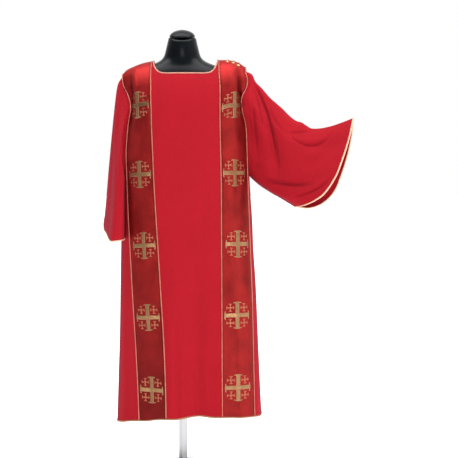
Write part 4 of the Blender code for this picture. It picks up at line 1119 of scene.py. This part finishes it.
def form_finish(colours):
    """Black lacquered shell, slightly uneven, with faint rubbed patches."""
    black = tuple(colours.form)
    finish = Finish("dress form black", black, 0.28, Specular_IOR_Level=0.13)
    rubbed = finish.noise(finish.place, 22.0, 5.0, 0.6)
    grain = finish.noise(finish.place, 340.0, 2.0)
    colour = finish.mixed(finish.ramp(rubbed, 0.42, 0.72), black, shade(black, 1.5))
    height = finish.math("ADD", rubbed, finish.math("MULTIPLY", grain, 0.25))
    return finish.set(
        Base_Color=colour, Roughness=finish.ramp(rubbed, 0.3, 0.7, 0.26, 0.34),
        Normal=finish.bump(height, 0.06, 0.001),
    )


def steel_finish(name, colours, scale):
    """Brushed steel, whose scratches run the way that the scale stretches them."""
    steel = tuple(colours.steel)
    finish = Finish(name, steel, 0.34, 1.0)
    brushed = finish.noise(finish.stretched(finish.place, scale), 1.0, 4.0, 0.6)
    smudges = finish.noise(finish.place, 14.0, 3.0)
    colour = finish.mixed(finish.ramp(brushed, 0.3, 0.7), shade(steel, 0.82), shade(steel, 1.1))
    rough = finish.ramp(finish.math("ADD", brushed, smudges), 0.7, 1.3, 0.27, 0.42)
    return finish.set(Base_Color=colour, Roughness=rough, Normal=finish.bump(brushed, 0.12, 0.0002))


def button_finish(colours):
    """Polished gold, a little dulled in patches."""
    gold = tuple(colours.button)
    finish = Finish("gold button", gold, 0.25, 1.0)
    dull = finish.noise(finish.place, 260.0, 3.0)
    colour = finish.mixed(finish.ramp(dull, 0.35, 0.7), shade(gold, 0.72), gold)
    return finish.set(Base_Color=colour, Roughness=finish.ramp(dull, 0.3, 0.7, 0.18, 0.36))


def give(piece, material, slot, *nodes):
    """The piece takes the material, rides on the one body and stands for the nodes. The slot is not used."""
    piece.data.materials.clear()
    piece.data.materials.append(material)
    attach(piece, "root")
    if nodes:
        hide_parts(*nodes)
    return piece


# ---- Trims ----
def neighbours(cloth, row, columns, inner):
    """An edge's points and normals, and the points of the row inside it."""
    return cloth.points[row, columns], cloth.normals[row, columns], cloth.points[inner, columns]


def both_faces(cloths, row, columns, inner, closed):
    """neighbours() of an edge that runs backwards along the front and then forwards along the back."""
    stop = -1 if closed else None
    front, back = (neighbours(cloths[face], row, columns, inner) for face in ("front", "back"))
    return [np.concatenate([ahead[::-1], behind[1:stop]]) for ahead, behind in zip(front, back)]


def binding_round(width, high):
    """The length once round a binding."""
    return 2 * (width + high)


def binding(name, edge, normals, inner, closed, width, high):
    """A rounded strip folded over an edge, reaching in from it by its width, and as high on both faces."""
    ahead = np.roll(edge, -1, axis=0) - np.roll(edge, 1, axis=0)
    if not closed:
        ahead[0], ahead[-1] = edge[1] - edge[0], edge[-1] - edge[-2]
    ahead = unit(ahead)
    inward = inner - edge
    inward = unit(inward - (inward * ahead).sum(-1, keepdims=True) * ahead)
    up = np.cross(ahead, inward)
    up *= np.sign((up * normals).sum(-1, keepdims=True))
    angles = np.linspace(0, 2 * math.pi, 12, endpoint=False)
    side, rise = (np.sign(v) * np.abs(v) ** BINDING_ROUND for v in (np.cos(angles), np.sin(angles)))
    middle = edge + inward * (width / 2 - BINDING_OVER)
    rings = (
        middle[:, None] + inward[:, None] * (side * width / 2)[None, :, None]
        + up[:, None] * (rise * high)[None, :, None]
    )
    return tube(name, rings, closed, binding_round(width, high))


def part_way(rows, share):
    """The place or normal at a share of the way across each row."""
    steps = np.linspace(0, 1, rows.shape[1])
    return np.array([[np.interp(share, steps, row[:, k]) for k in range(3)] for row in rows])


def cord(name, cloth, ends, low):
    """A rounded piping over a strip of the cloth, from its first column to its last."""
    points = drawn_back(cloth, ends)
    across = np.linspace(0, 1, 9)
    rise = low + PIPING_HIGH * np.sqrt(np.clip(1 - (2 * across - 1) ** 2, 0.02, 1))
    arch = [
        part_way(points, share) + unit(part_way(cloth.normals, share)) * high
        for share, high in zip(across, rise)
    ]
    arch += [part_way(points, share) + part_way(cloth.normals, share) * low for share in (0.9, 0.5, 0.1)]
    return tube(name, np.stack(arch, axis=1), False, PIPING_ROUND)


def rings_round(path, radius, sides):
    """Circles of points round a path."""
    ahead = unit(np.gradient(path, axis=0))
    side = unit(np.cross(ahead, (0.31, 0.17, 0.93)))  # any direction that the path never takes
    up = np.cross(ahead, side)
    turn = np.linspace(0, 2 * math.pi, sides, endpoint=False)
    return path[:, None] + radius * (
        side[:, None] * np.cos(turn)[None, :, None] + up[:, None] * np.sin(turn)[None, :, None]
    )


# ---- Embroidered crosses ----
def cross_outline(reach, half_bar, end, half_angle, centre=(0.0, 0.0)):
    """Corners of a cross whose four arms end in crossbars. Each crossbar follows a circle round the centre,
    from the reach less its thickness, the end, out to the reach."""
    corners = []
    inside = reach - end
    root = math.asin(half_bar / inside)
    for arm in range(4):
        turn = arm * math.pi / 2
        around = [(inside, -root), (inside, -half_angle)]
        around += [(reach, half_angle * step) for step in (-1, -0.5, 0, 0.5, 1)]
        around += [(inside, half_angle), (inside, root)]
        corners.append((half_bar, -half_bar, turn))
        corners += [(radius * math.cos(angle), radius * math.sin(angle), turn) for radius, angle in around]
    turned = [(x * math.cos(a) - y * math.sin(a), x * math.sin(a) + y * math.cos(a)) for x, y, a in corners]
    return [(x + centre[0], y + centre[1]) for x, y in turned]


def only(piece):
    """The piece alone is selected and active."""
    if bpy.context.object and bpy.context.object.mode != "OBJECT":
        bpy.ops.object.mode_set(mode="OBJECT")
    bpy.ops.object.select_all(action="DESELECT")
    piece.select_set(True)
    bpy.context.view_layer.objects.active = piece
    return piece


def finished_with(piece, kind, **settings):
    """Adds a modifier with those settings to the piece, and applies it."""
    made = only(piece).modifiers.new("finish", kind)
    for key, value in settings.items():
        setattr(made, key, value)
    bpy.ops.object.modifier_apply(modifier=made.name)


def cylinder(name, **settings):
    """A cylinder at its place, with that place in its mesh."""
    bpy.ops.object.select_all(action="DESELECT")
    bpy.ops.mesh.primitive_cylinder_add(**settings)
    made = bpy.context.object
    made.name = made.data.name = name
    bpy.ops.object.transform_apply(location=True, rotation=True, scale=True)
    return made


def with_round_rims(piece, width, segments, sharp):
    """The piece with its rims rounded, shaded smooth apart from edges sharper than so many degrees."""
    finished_with(piece, "BEVEL", width=width, segments=segments, limit_method="ANGLE")
    piece.data.shade_smooth()
    piece.data.set_sharp_from_angle(angle=math.radians(sharp))
    return piece


def inset_ends(piece, steps, towards=None):
    """Insets the flat ends of a piece, or only the one that faces a direction, by a thickness and a depth at
    each step."""
    only(piece)
    bpy.ops.object.mode_set(mode="EDIT")
    bpy.ops.mesh.select_mode(type="FACE")
    bpy.ops.mesh.select_all(action="DESELECT")
    shape = bmesh.from_edit_mesh(piece.data)
    ends = [side for side in shape.faces if len(side.verts) > 4]
    if towards is not None:
        ends = [max(ends, key=lambda end: end.normal @ towards)]
    for end in ends:
        end.select = True
    bmesh.update_edit_mesh(piece.data)
    for thickness, depth in steps:
        bpy.ops.mesh.inset(thickness=thickness, depth=depth)
    bpy.ops.object.mode_set(mode="OBJECT")


def cross_template(sizes):
    """One cross with its four small ones, lying flat: its outline filled, raised, and stepped in to a corded
    edge, then cut across so that it can bend with the cloth."""
    curve = bpy.data.curves.new("cross outline", "CURVE")
    curve.dimensions, curve.fill_mode = "2D", "BOTH"
    small = sizes.cross_offset
    outlines = [cross_outline(sizes.cross_reach, sizes.cross_bar / 2, CROSS_END, CROSS_FLARE)]
    for x in (-small, small):
        for y in (-SMALL_RISE * small, SMALL_RISE * small):
            outline = cross_outline(sizes.small_cross / 2, SMALL_BAR / 2, SMALL_END, SMALL_FLARE, (x, y))
            outlines.append(outline)
    for outline in outlines:
        spline = curve.splines.new("POLY")
        spline.points.add(len(outline) - 1)
        for point, (x, y) in zip(spline.points, outline):
            point.co = (x, y, 0, 1)
        spline.use_cyclic_u = True
    flat = bpy.data.objects.new("cross template", curve)
    bpy.context.scene.collection.objects.link(flat)
    only(flat)
    bpy.ops.object.convert(target="MESH")
    flat = bpy.context.object
    bpy.ops.object.mode_set(mode="EDIT")
    bpy.ops.mesh.select_mode(type="FACE")
    bpy.ops.mesh.select_all(action="SELECT")
    bpy.ops.mesh.remove_doubles(threshold=1e-6)
    bpy.ops.mesh.dissolve_limited(angle_limit=math.radians(1))
    up = (0, 0, sizes.cross_raise * CROSS_SIDES)
    bpy.ops.mesh.extrude_region_move(TRANSFORM_OT_translate={"value": up})
    bpy.ops.mesh.inset(thickness=CROSS_EDGE, depth=sizes.cross_raise * CROSS_SLOPE)
    for k in range(-8, 9):
        for normal in ((1, 0, 0), (0, 1, 0)):
            bpy.ops.mesh.select_all(action="SELECT")
            place = tuple((CROSS_CUTS * k + CROSS_CUTS_OFF) * axis for axis in normal)
            bpy.ops.mesh.bisect(plane_co=place, plane_no=normal, threshold=1e-6)
    bpy.ops.mesh.select_all(action="SELECT")
    bpy.ops.mesh.quads_convert_to_tris()
    bpy.ops.mesh.normals_make_consistent(inside=False)
    bpy.ops.object.mode_set(mode="OBJECT")
    if max(vertex.co.length for vertex in flat.data.vertices) > 1.2 * sizes.cross_reach:
        raise RuntimeError("the cross has a stray point")
    return flat


class BandFace:
    """The outer face of a band, as a map from distances across and along it to places."""

    def __init__(self, face, side, high):
        first, last = BAND_EDGES[side]
        band = garment()[face].part(np.s_[:], np.s_[COLUMN_AT[first] : COLUMN_AT[last] + 1])
        if side == "right":
            band.points, band.normals = band.points[:, ::-1], band.normals[:, ::-1]
        self.surface, self.normals = band.points + band.normals * high, band.normals
        self.across = lengths(self.surface, axis=1)  # from the inner piping
        middle = self.surface[:, self.surface.shape[1] // 2]
        self.along, self.heights = lengths(middle), middle[:, 2]
        self.rows, self.columns = np.arange(len(middle)), np.arange(self.surface.shape[1])

    def at(self, row, u):
        """The place and normal at a row, which may lie between two, and a distance across it."""
        low = int(np.clip(row, 0, len(self.along) - 2))
        found = []
        for k in (low, low + 1):
            column = np.interp(u, self.across[k], self.columns)
            found.append([
                [np.interp(column, self.columns, values[k, :, axis]) for axis in range(3)]
                for values in (self.surface, self.normals)
            ])
        return np.array(found[0]) * (1 - row + low) + np.array(found[1]) * (row - low)

    def wrap(self, flat, x, z, mirror):
        """The template's points laid on the band, round the place whose X and height are given."""
        row = np.interp(z + RAISED, self.heights, self.rows)
        k = int(row)
        order = np.argsort(self.surface[k, :, 0])
        middle = np.interp(x, self.surface[k, order, 0], self.across[k, order])
        here, _ = self.at(row, middle)
        right, up = unit(self.at(row, middle + 0.01)[0] - here), unit(self.at(row + 1, middle)[0] - here)
        lean = float(right @ up)
        straight = math.sqrt(1 - lean * lean)
        start = np.interp(row, self.rows, self.along)
        points = []
        for a, b, c in flat:
            a *= mirror
            far = np.interp(start + b - a * lean / straight, self.along, self.rows)
            place, normal = self.at(far, middle + a / straight)
            points.append(place + unit(normal) * c)
        return np.array(points)


# ---- Sizes and colours that a user would change ----
def size(name, text, default, low=0.0, high=1.0):
    """A length in metres."""
    return FloatProperty(
        name=name, description=text, default=default, min=low, max=high, unit="LENGTH", precision=4
    )


def tint(name, text, default):
    """A colour."""
    return FloatVectorProperty(
        name=name, description=text, default=default, subtype="COLOR", size=3, min=0.0, max=1.0
    )


class DalmaticSizes(PropertyGroup):
    """Sizes of the cloth and trims"""

    cloth: size("Cloth", "Thickness of the shells of plain cloth", 0.0016, 0.0005, 0.003)
    band: size("Band", "Thickness of the bands sewn on the cloth", 0.0012, 0.0004, 0.003)
    binding: size("Binding width", "How far in the bindings of neck and cuffs reach", 0.0050, 0.001, 0.01)
    binding_high: size("Binding height", "Half the thickness of the bindings", 0.0026, 0.001, 0.006)
    cross_reach: size("Cross radius", "From the middle of a cross to the end of an arm", 0.048, 0.02, 0.056)
    cross_bar: size("Cross bar", "Width of the bars of a cross", 0.0142, 0.004, 0.03)
    small_cross: size("Small cross", "Width of the four small crosses", 0.0290, 0.01, 0.04)
    cross_offset: size("Small cross place", "From the middle sideways to a small cross", 0.0262, 0.01, 0.04)
    cross_raise: size("Cross height", "How far the embroidery stands off the band", 0.0011, 0.0002, 0.003)


class DalmaticColours(PropertyGroup):
    """Colours of the materials"""

    cloth: tint("Cloth", "Plain red cloth", (0.292, 0.0044, 0.0110))
    band: tint("Bands", "Dark red satin", (0.190, 0.0080, 0.0085))
    piping: tint("Piping", "Twisted gold cord", (0.560, 0.175, 0.125))
    binding: tint("Binding", "Pale gold braid", (0.460, 0.215, 0.155))
    # the braid of the hem and cuffs: the binding's braid painted brighter, as a painted highlight
    hem: tint("Hem and cuffs", "Bright gold braid", (0.780, 0.480, 0.340))
    embroidery: tint("Embroidery", "Gold thread of the crosses", (0.340, 0.190, 0.094))
    button: tint("Buttons", "Polished gold", (0.760, 0.500, 0.220))
    form: tint("Dress form", "Black lacquer", (0.0010, 0.0018, 0.0028))
    steel: tint("Stand", "Brushed steel", (0.420, 0.420, 0.430))


def light(name, default):
    """The power of a light."""
    return FloatProperty(name=name, description="Power of the light", default=default, min=0.0, unit="POWER")


class DalmaticStudio(PropertyGroup):
    """Lights, floor and lens of the studio"""

    key: light("Key light", 46.0)
    front: light("Front light", 32.0)
    side: light("Side light", 66.0)
    top: light("Top light", 180.0)
    sky: FloatProperty(name="Surroundings", description="Light from all round", default=0.66, min=0.0)
    floor: FloatProperty(name="Floor glow", description="Light from the floor itself", default=0.84, min=0.0)
    lens: FloatProperty(name="Lens", description="Focal length", default=97.0855, min=10.0, unit="CAMERA")


# ---- Operators ----
class DALMATIC_OT_cloth(Operator):
    """Add the front, the back and the two sleeves, as thin shells with their folds"""

    bl_idname = "dalmatic.add_cloth"
    bl_label = "Add cloth"

    def execute(self, context):
        sizes = context.scene.dalmatic_sizes
        half = sizes.cloth / 2
        finish = cloth_finish(context.scene.dalmatic_colours)
        cloths = garment()
        for name, cloth in cloths.items():
            if cloth.closed:
                points = drawn_back(cloth, {"bottom": SEAM_GAP})
                points = pulled_in(cloth, points, ("bottom",))
            else:
                points = drawn_back(cloth, {"top": SEAM_GAP, "first": SEAM_GAP, "last": SEAM_GAP})
                points = pulled_in(cloth, points, ("top", "first", "last"))
            piece = shell(f"cloth_{name}", cloth, points, -half, half)
            give(piece, finish, "plain_cloth", name)
        return {"FINISHED"}


class DALMATIC_OT_bands(Operator):
    """Add the four satin bands and the eight pipings along their edges"""

    bl_idname = "dalmatic.add_bands"
    bl_label = "Add bands and pipings"

    def execute(self, context):
        sizes = context.scene.dalmatic_sizes
        satin = band_finish(context.scene.dalmatic_colours)
        gold = piping_finish(context.scene.dalmatic_colours)
        low = sizes.cloth / 2 + LIFT
        hem_end = HEM_BINDING_WIDTH + 2 * SEAM_GAP
        for face in ("front", "back"):
            cloth = garment()[face]
            for side in ("right", "left"):
                first, last = BAND_EDGES[side]
                slit_end = sizes.binding + 2 * SEAM_GAP if side == "left" else SEAM_GAP
                band = cloth.part(np.s_[:], np.s_[COLUMN_AT[first] : COLUMN_AT[last] + 1])
                ends = {"bottom": hem_end, "top": slit_end, "first": SEAM_GAP, "last": SEAM_GAP}
                points = drawn_back(band, ends)
                # painted shadow beside the pipings, and painted shade in the folds, which the satin's finish
                # darkens by
                edges = (points[:, :1], points[:, -1:])
                away = np.minimum(*(np.linalg.norm(points - edge, axis=-1) for edge in edges))
                painted_shadow_by_cords = np.exp(-((away / CORD_SHADE) ** 2))
                band.hollow = painted_shadow_by_cords + np.clip(band.hollow / BAND_FOLD - 0.1, 0, 1)
                points = pulled_in(band, points, ("first", "last"))
                piece = shell(f"satin_{face}_{side}", band, points, low, low + sizes.band)
                inner, outer = (last, first - 1) if side == "right" else (first - 1, last)
                for line, column in (("inner", inner), ("outer", outer)):
                    strip = cloth.part(np.s_[:], np.s_[COLUMN_AT[column] : COLUMN_AT[column + 1] + 1])
                    ends = {"bottom": hem_end, "top": slit_end if line == "inner" else SEAM_GAP}
                    made = cord(f"cord_{face}_{side}_{line}", strip, ends, low)
                    give(made, gold, "gold_piping", f"piping_{face}_{side}_{line}")
                give(piece, satin, "band_cloth", f"band_{face}_{side}")
        return {"FINISHED"}


class DALMATIC_OT_bindings(Operator):
    """Add the bindings of the neck, the slit, the cuffs and the hem"""

    bl_idname = "dalmatic.add_bindings"
    bl_label = "Add bindings"

    def execute(self, context):
        colours = context.scene.dalmatic_colours
        width, high = context.scene.dalmatic_sizes.binding, context.scene.dalmatic_sizes.binding_high
        once, hem_once = binding_round(width, high), binding_round(HEM_BINDING_WIDTH, high)
        pale = binding_finish("pale binding", colours.binding, 0.0, once)
        # the hem and cuffs take the brighter copy of the braid's colour, a painted highlight
        hem = binding_finish("gold binding of the hem", colours.hem, 0.90, hem_once)
        cuff = binding_finish("gold binding of the cuffs", colours.hem, 0.15, once)
        cloths = garment()
        neck, whole = slice(COLUMN_AT[NECK_FIRST], COLUMN_AT[NECK_LAST] + 1), np.s_[:]
        edge = both_faces(cloths, -1, neck, -2, False)
        give(binding("edge_neck", *edge, False, width, high), pale, "pale_binding", "neck_binding")
        edge = both_faces(cloths, 0, whole, 1, True)
        give(binding("edge_hem", *edge, True, HEM_BINDING_WIDTH, high), hem, "pale_binding", "hem_binding")
        for side in ("left", "right"):
            edge = neighbours(cloths[f"sleeve_{side}"], -1, whole, -2)
            made = binding(f"edge_cuff_{side}", *edge, True, width, high)
            give(made, cuff, "pale_binding", f"cuff_binding_{side}")
        slit = slice(COLUMN_AT[NECK_LAST], COLUMN_AT[OUTER_LEFT] + 1)
        for face in ("front", "back"):
            edge, normals, inner = neighbours(cloths[face], -1, slit, -2)
            kept = lengths(edge) > SLIT_START
            edge = edge + unit(inner - edge) * SLIT_BINDING_IN
            made = binding(
                f"edge_slit_{face}", edge[kept], normals[kept], inner[kept], False,
                width * SLIT_BINDING_WIDTH, high * SLIT_BINDING_HIGH,
            )
            give(made, pale, "pale_binding", f"slit_binding_{face}")
        return {"FINISHED"}


class DALMATIC_OT_crosses(Operator):
    """Add the embroidered crosses down every band, with four small ones in the corners of each"""

    bl_idname = "dalmatic.add_crosses"
    bl_label = "Add crosses"

    def execute(self, context):
        sizes = context.scene.dalmatic_sizes
        finish = embroidery_finish(context.scene.dalmatic_colours)
        flat = cross_template(sizes)
        points = np.array([tuple(v.co) for v in flat.data.vertices])
        faces = [tuple(p.vertices) for p in flat.data.polygons]
        bpy.data.objects.remove(flat)
        uv = []
        for corners in faces:
            x, y = np.abs(points[list(corners), :2].mean(axis=0))
            order = [1, 0] if x > y else [0, 1]  # the threads lie across the upright and the crossbar alike
            uv += [tuple(points[k, order]) for k in corners]
        high = sizes.cross_raise
        rim = np.clip(1 - (points[:, 2] - RIM_UP_TO * high) / (RIM_OVER * high), 0, 1)
        near = sizes.cross_offset - 0.52 * sizes.small_cross
        far = sizes.cross_offset * SMALL_RISE + 0.51 * sizes.small_cross
        out = np.abs(points[:, :2])
        thin = np.all((out > near) & (out < far), axis=1).astype(float)
        high = sizes.cloth / 2 + LIFT + sizes.band + CROSS_LIFT
        for face, side, width, places in CROSSES:
            surface = BandFace(face, side, high)
            mirror, count = 1 if side == "left" else -1, len(places)
            vertices, polygons = [], []
            for number, (x, z) in enumerate(places):
                vertices.append(surface.wrap(points * (width, 1, 1), x, z, mirror))
                polygons += [tuple(k + number * len(points) for k in corners) for corners in faces]
            made = add_mesh(
                f"crosses_{face}_{side}", np.concatenate(vertices), polygons, uv * count,
                rim=np.tile(rim, count), thin=np.tile(thin, count),
            )
            give(faced_outwards(made), finish, "gold_piping")
        return {"FINISHED"}


def rounded(path, count):
    """The path with that many points, its corners smoothed away."""
    steps, dense = np.arange(len(path)), np.linspace(0, len(path) - 1, count)
    path = np.stack([np.interp(dense, steps, path[:, axis]) for axis in range(3)], axis=1)
    for _ in range(3):
        path[1:-1] = (path[:-2] + 2 * path[1:-1] + path[2:]) / 4
    return path


def loop_path(front, back, middle, normal, high):
    """A cord's path from the back's edge across the slit, round a button, and back again."""
    edge = back.points[-1]
    nearest = edge[np.argmin(np.linalg.norm(edge - middle, axis=1))]
    away = np.array(middle) - nearest
    away -= (away @ normal) * normal
    reach = np.linalg.norm(away)
    away /= reach
    side = np.cross(normal, away)
    path = [
        (-0.007, 0.0016, 0.0),
        (0.0, 0.0018, 0.0012),
        (0.45 * reach, 0.0026, 0.0016),
        (0.75 * reach, 0.0046, 0.0006),
    ]  # away from the edge, sideways and up
    for turn in np.radians([110, 75, 40, 0]):
        path.append((reach + LOOP_TURN * math.cos(turn), LOOP_TURN * math.sin(turn), 0))
    path += [(far, -across, rise) for far, across, rise in path[-2::-1]]
    spots = np.array([nearest + away * far + side * across + normal * rise for far, across, rise in path])
    every = np.concatenate([front.points.reshape(-1, 3), back.points.reshape(-1, 3)])
    faces = np.concatenate([front.normals.reshape(-1, 3), back.normals.reshape(-1, 3)])
    lifted = []
    for spot, (_, _, rise) in zip(spots, path):
        k = np.argmin(np.linalg.norm(every - spot, axis=1))
        out = unit(faces[k])
        lifted.append(spot + out * (high + rise - (spot - every[k]) @ out))
    return np.array(lifted)


class DALMATIC_OT_buttons(Operator):
    """Add the three gold buttons beside the shoulder slit, and the loops of cord that close on them"""

    bl_idname = "dalmatic.add_buttons"
    bl_label = "Add buttons"

    def execute(self, context):
        gold = button_finish(context.scene.dalmatic_colours)
        thread = piping_finish(context.scene.dalmatic_colours)
        sizes = context.scene.dalmatic_sizes
        loops_at = sizes.cloth / 2 + LIFT + sizes.band + LOOP_LIFT
        front, back = garment()["front"], garment()["back"]
        places, normals = front.points.reshape(-1, 3), front.normals.reshape(-1, 3)
        for number in (1, 2, 3):
            low, high = (Vector(corner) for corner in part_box(f"slit_button_{number}"))
            middle = (low + high) / 2
            normal = Vector(normals[np.argmin(np.linalg.norm(places - np.array(middle), axis=1))])
            made = cylinder(
                f"button_{number}", vertices=40, radius=BUTTON_RADIUS, depth=BUTTON_HIGH, location=middle,
                rotation=normal.to_track_quat("Z", "Y").to_euler(),
            )
            inset_ends(made, BUTTON_DISH, normal)
            give(with_round_rims(made, BUTTON_BEVEL, 3, 40), gold, "gold_button", f"slit_button_{number}")
            path = loop_path(front, back, np.array(middle), np.array(normal), loops_at)
            rings = rings_round(rounded(path, 49), LOOP_RADIUS, 8)
            give(tube(f"loop_{number}", rings, False, LOOP_ROUND), thread, "gold_piping")
        return {"FINISHED"}


def cad_copy(node, name):
    """A whole mesh made from a CAD node's triangles."""
    made = bpy.data.objects.new(name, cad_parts[node].data.copy())
    bpy.context.scene.collection.objects.link(made)
    only(made)
    bpy.ops.object.mode_set(mode="EDIT")
    bpy.ops.mesh.select_all(action="SELECT")
    bpy.ops.mesh.remove_doubles(threshold=1e-5)
    bpy.ops.mesh.tris_convert_to_quads(face_threshold=math.radians(30), shape_threshold=math.radians(50))
    bpy.ops.mesh.normals_make_consistent(inside=False)
    bpy.ops.object.mode_set(mode="OBJECT")
    return made


class DALMATIC_OT_form(Operator):
    """Add the torso of the dress form and the cap on its neck"""

    bl_idname = "dalmatic.add_form"
    bl_label = "Add dress form"

    def execute(self, context):
        black = form_finish(context.scene.dalmatic_colours)
        for node, name in (("form_body", "torso"), ("form_neck_cap", "neck_cap")):
            made = cad_copy(node, name)
            inset_ends(made, ((0.004, 0.0),))
            finished_with(made, "SUBSURF", levels=2, render_levels=2)
            made.data.shade_smooth()
            give(made, black, "form_black", node)
        return {"FINISHED"}


class DALMATIC_OT_stand(Operator):
    """Add the pole and the round base of the stand"""

    bl_idname = "dalmatic.add_stand"
    bl_label = "Add stand"

    def execute(self, context):
        colours = context.scene.dalmatic_colours
        for node, name, vertices, edge, scratches in (
            ("stand_pole", "pole", 48, 0.0008, (260, 260, 3)),
            ("stand_base", "base_plate", 128, 0.004, (3, 300, 300)),
        ):
            low, high = (Vector(corner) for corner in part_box(node))
            middle, across, tall = (low + high) / 2, high.x - low.x, high.z - low.z
            made = cylinder(name, vertices=vertices, radius=across / 2, depth=tall, location=middle)
            steel = steel_finish(f"brushed steel {name}", colours, scratches)
            give(with_round_rims(made, edge, 4, 30), steel, "stand_steel", node)
        return {"FINISHED"}


def surroundings(sky):
    """A world that the camera sees as white, and that lights the part most from behind and from +X."""
    world = bpy.data.worlds.new("white surroundings")
    world.use_nodes = True
    tree = world.node_tree
    seen, lit = tree.nodes["Background"], tree.nodes.new("ShaderNodeBackground")
    seen.inputs["Color"].default_value = lit.inputs["Color"].default_value = (1.0, 1.0, 1.0, 1.0)
    place, towards = tree.nodes.new("ShaderNodeTexCoord"), tree.nodes.new("ShaderNodeVectorMath")
    towards.operation, towards.inputs[1].default_value = "DOT_PRODUCT", BRIGHTEST_FROM
    dimmer = tree.nodes.new("ShaderNodeMapRange")
    limits = {"From Min": -1.0, "From Max": 1.0, "To Min": DIMMEST * sky, "To Max": BRIGHTEST * sky}
    for socket, value in limits.items():
        dimmer.inputs[socket].default_value = value
    mix, path = tree.nodes.new("ShaderNodeMixShader"), tree.nodes.new("ShaderNodeLightPath")
    for output, socket in (
        (place.outputs["Generated"], towards.inputs[0]),
        (towards.outputs["Value"], dimmer.inputs["Value"]),
        (dimmer.outputs["Result"], lit.inputs["Strength"]),
        (path.outputs["Is Camera Ray"], mix.inputs[0]),
        (lit.outputs[0], mix.inputs[1]),
        (seen.outputs[0], mix.inputs[2]),
        (mix.outputs[0], tree.nodes["World Output"].inputs[0]),
    ):
        tree.links.new(output, socket)
    return world


def turned_to(place, aim):
    """The turn that points a light or camera at its aim."""
    return (Vector(aim) - Vector(place)).to_track_quat("-Z", "Y").to_euler()


class DALMATIC_OT_studio(Operator):
    """Add the floor, the lights, the white surroundings and the camera"""

    bl_idname = "dalmatic.add_studio"
    bl_label = "Add studio"

    def execute(self, context):
        studio = context.scene.dalmatic_studio
        bpy.ops.object.select_all(action="DESELECT")
        bpy.ops.mesh.primitive_plane_add(size=FLOOR_SIZE, location=(0, 0, FLOOR_LEVEL))
        floor = bpy.context.object
        floor.name = "studio_floor"
        white = (1.0, 1.0, 1.0)
        pale = Finish("pale floor", (0.9, 0.9, 0.9), 0.8, Emission_Color=white, Specular_IOR_Level=0.05)
        away = pale.add("ShaderNodeVectorMath", {0: pale.place}, operation="LENGTH").outputs["Value"]
        pale.set(Emission_Strength=pale.ramp(away, 0.3, 1.6, 0.8 * studio.floor, studio.floor))
        floor.data.materials.append(pale.material)
        context.scene.world = surroundings(studio.sky)
        for name, place, across in LIGHTS:
            bpy.ops.object.light_add(type="AREA", location=place, rotation=turned_to(place, LIGHTS_AIM))
            light = bpy.context.object
            light.name = light.data.name = f"studio_{name}"
            light.data.shape, light.data.energy = "RECTANGLE", getattr(studio, name)
            light.data.size, light.data.size_y = across
        bpy.ops.object.camera_add(location=CAMERA_AT, rotation=turned_to(CAMERA_AT, CAMERA_AIM))
        camera = bpy.context.object
        camera.name = "studio_camera"
        camera.data.lens, camera.data.sensor_width, camera.data.clip_end = studio.lens, 36.0, 200.0
        context.scene.camera = camera
        context.scene.view_settings.view_transform = "Standard"
        return {"FINISHED"}


class DALMATIC_PT_parts(Panel):
    """Lists the pieces, sizes and colours"""

    bl_idname = "DALMATIC_PT_parts"
    bl_label = "Dalmatic"
    bl_space_type = "VIEW_3D"
    bl_region_type = "UI"
    bl_category = "Dalmatic"

    def draw(self, context):
        layout, scene = self.layout, context.scene
        for step in STEPS:
            layout.operator(step.bl_idname)
        for group in (scene.dalmatic_sizes, scene.dalmatic_colours, scene.dalmatic_studio):
            box = layout.box()
            for name in group.__annotations__:
                box.prop(group, name)


STEPS = (
    DALMATIC_OT_cloth, DALMATIC_OT_bands, DALMATIC_OT_bindings, DALMATIC_OT_crosses, DALMATIC_OT_buttons,
    DALMATIC_OT_form, DALMATIC_OT_stand, DALMATIC_OT_studio,
)
CLASSES = (DalmaticSizes, DalmaticColours, DalmaticStudio) + STEPS + (DALMATIC_PT_parts,)


def register():
    for kind in CLASSES:
        bpy.utils.register_class(kind)
    bpy.types.Scene.dalmatic_sizes = PointerProperty(type=DalmaticSizes)
    bpy.types.Scene.dalmatic_colours = PointerProperty(type=DalmaticColours)
    bpy.types.Scene.dalmatic_studio = PointerProperty(type=DalmaticStudio)


def unregister():
    del bpy.types.Scene.dalmatic_studio
    del bpy.types.Scene.dalmatic_colours
    del bpy.types.Scene.dalmatic_sizes
    for kind in reversed(CLASSES):
        bpy.utils.unregister_class(kind)


def main():
    """Adds every piece and the studio."""
    register()
    bpy.ops.dalmatic.add_cloth()
    bpy.ops.dalmatic.add_bands()
    bpy.ops.dalmatic.add_bindings()
    bpy.ops.dalmatic.add_crosses()
    bpy.ops.dalmatic.add_buttons()
    bpy.ops.dalmatic.add_form()
    bpy.ops.dalmatic.add_stand()
    bpy.ops.dalmatic.add_studio()


if __name__ == "__main__":
    main()
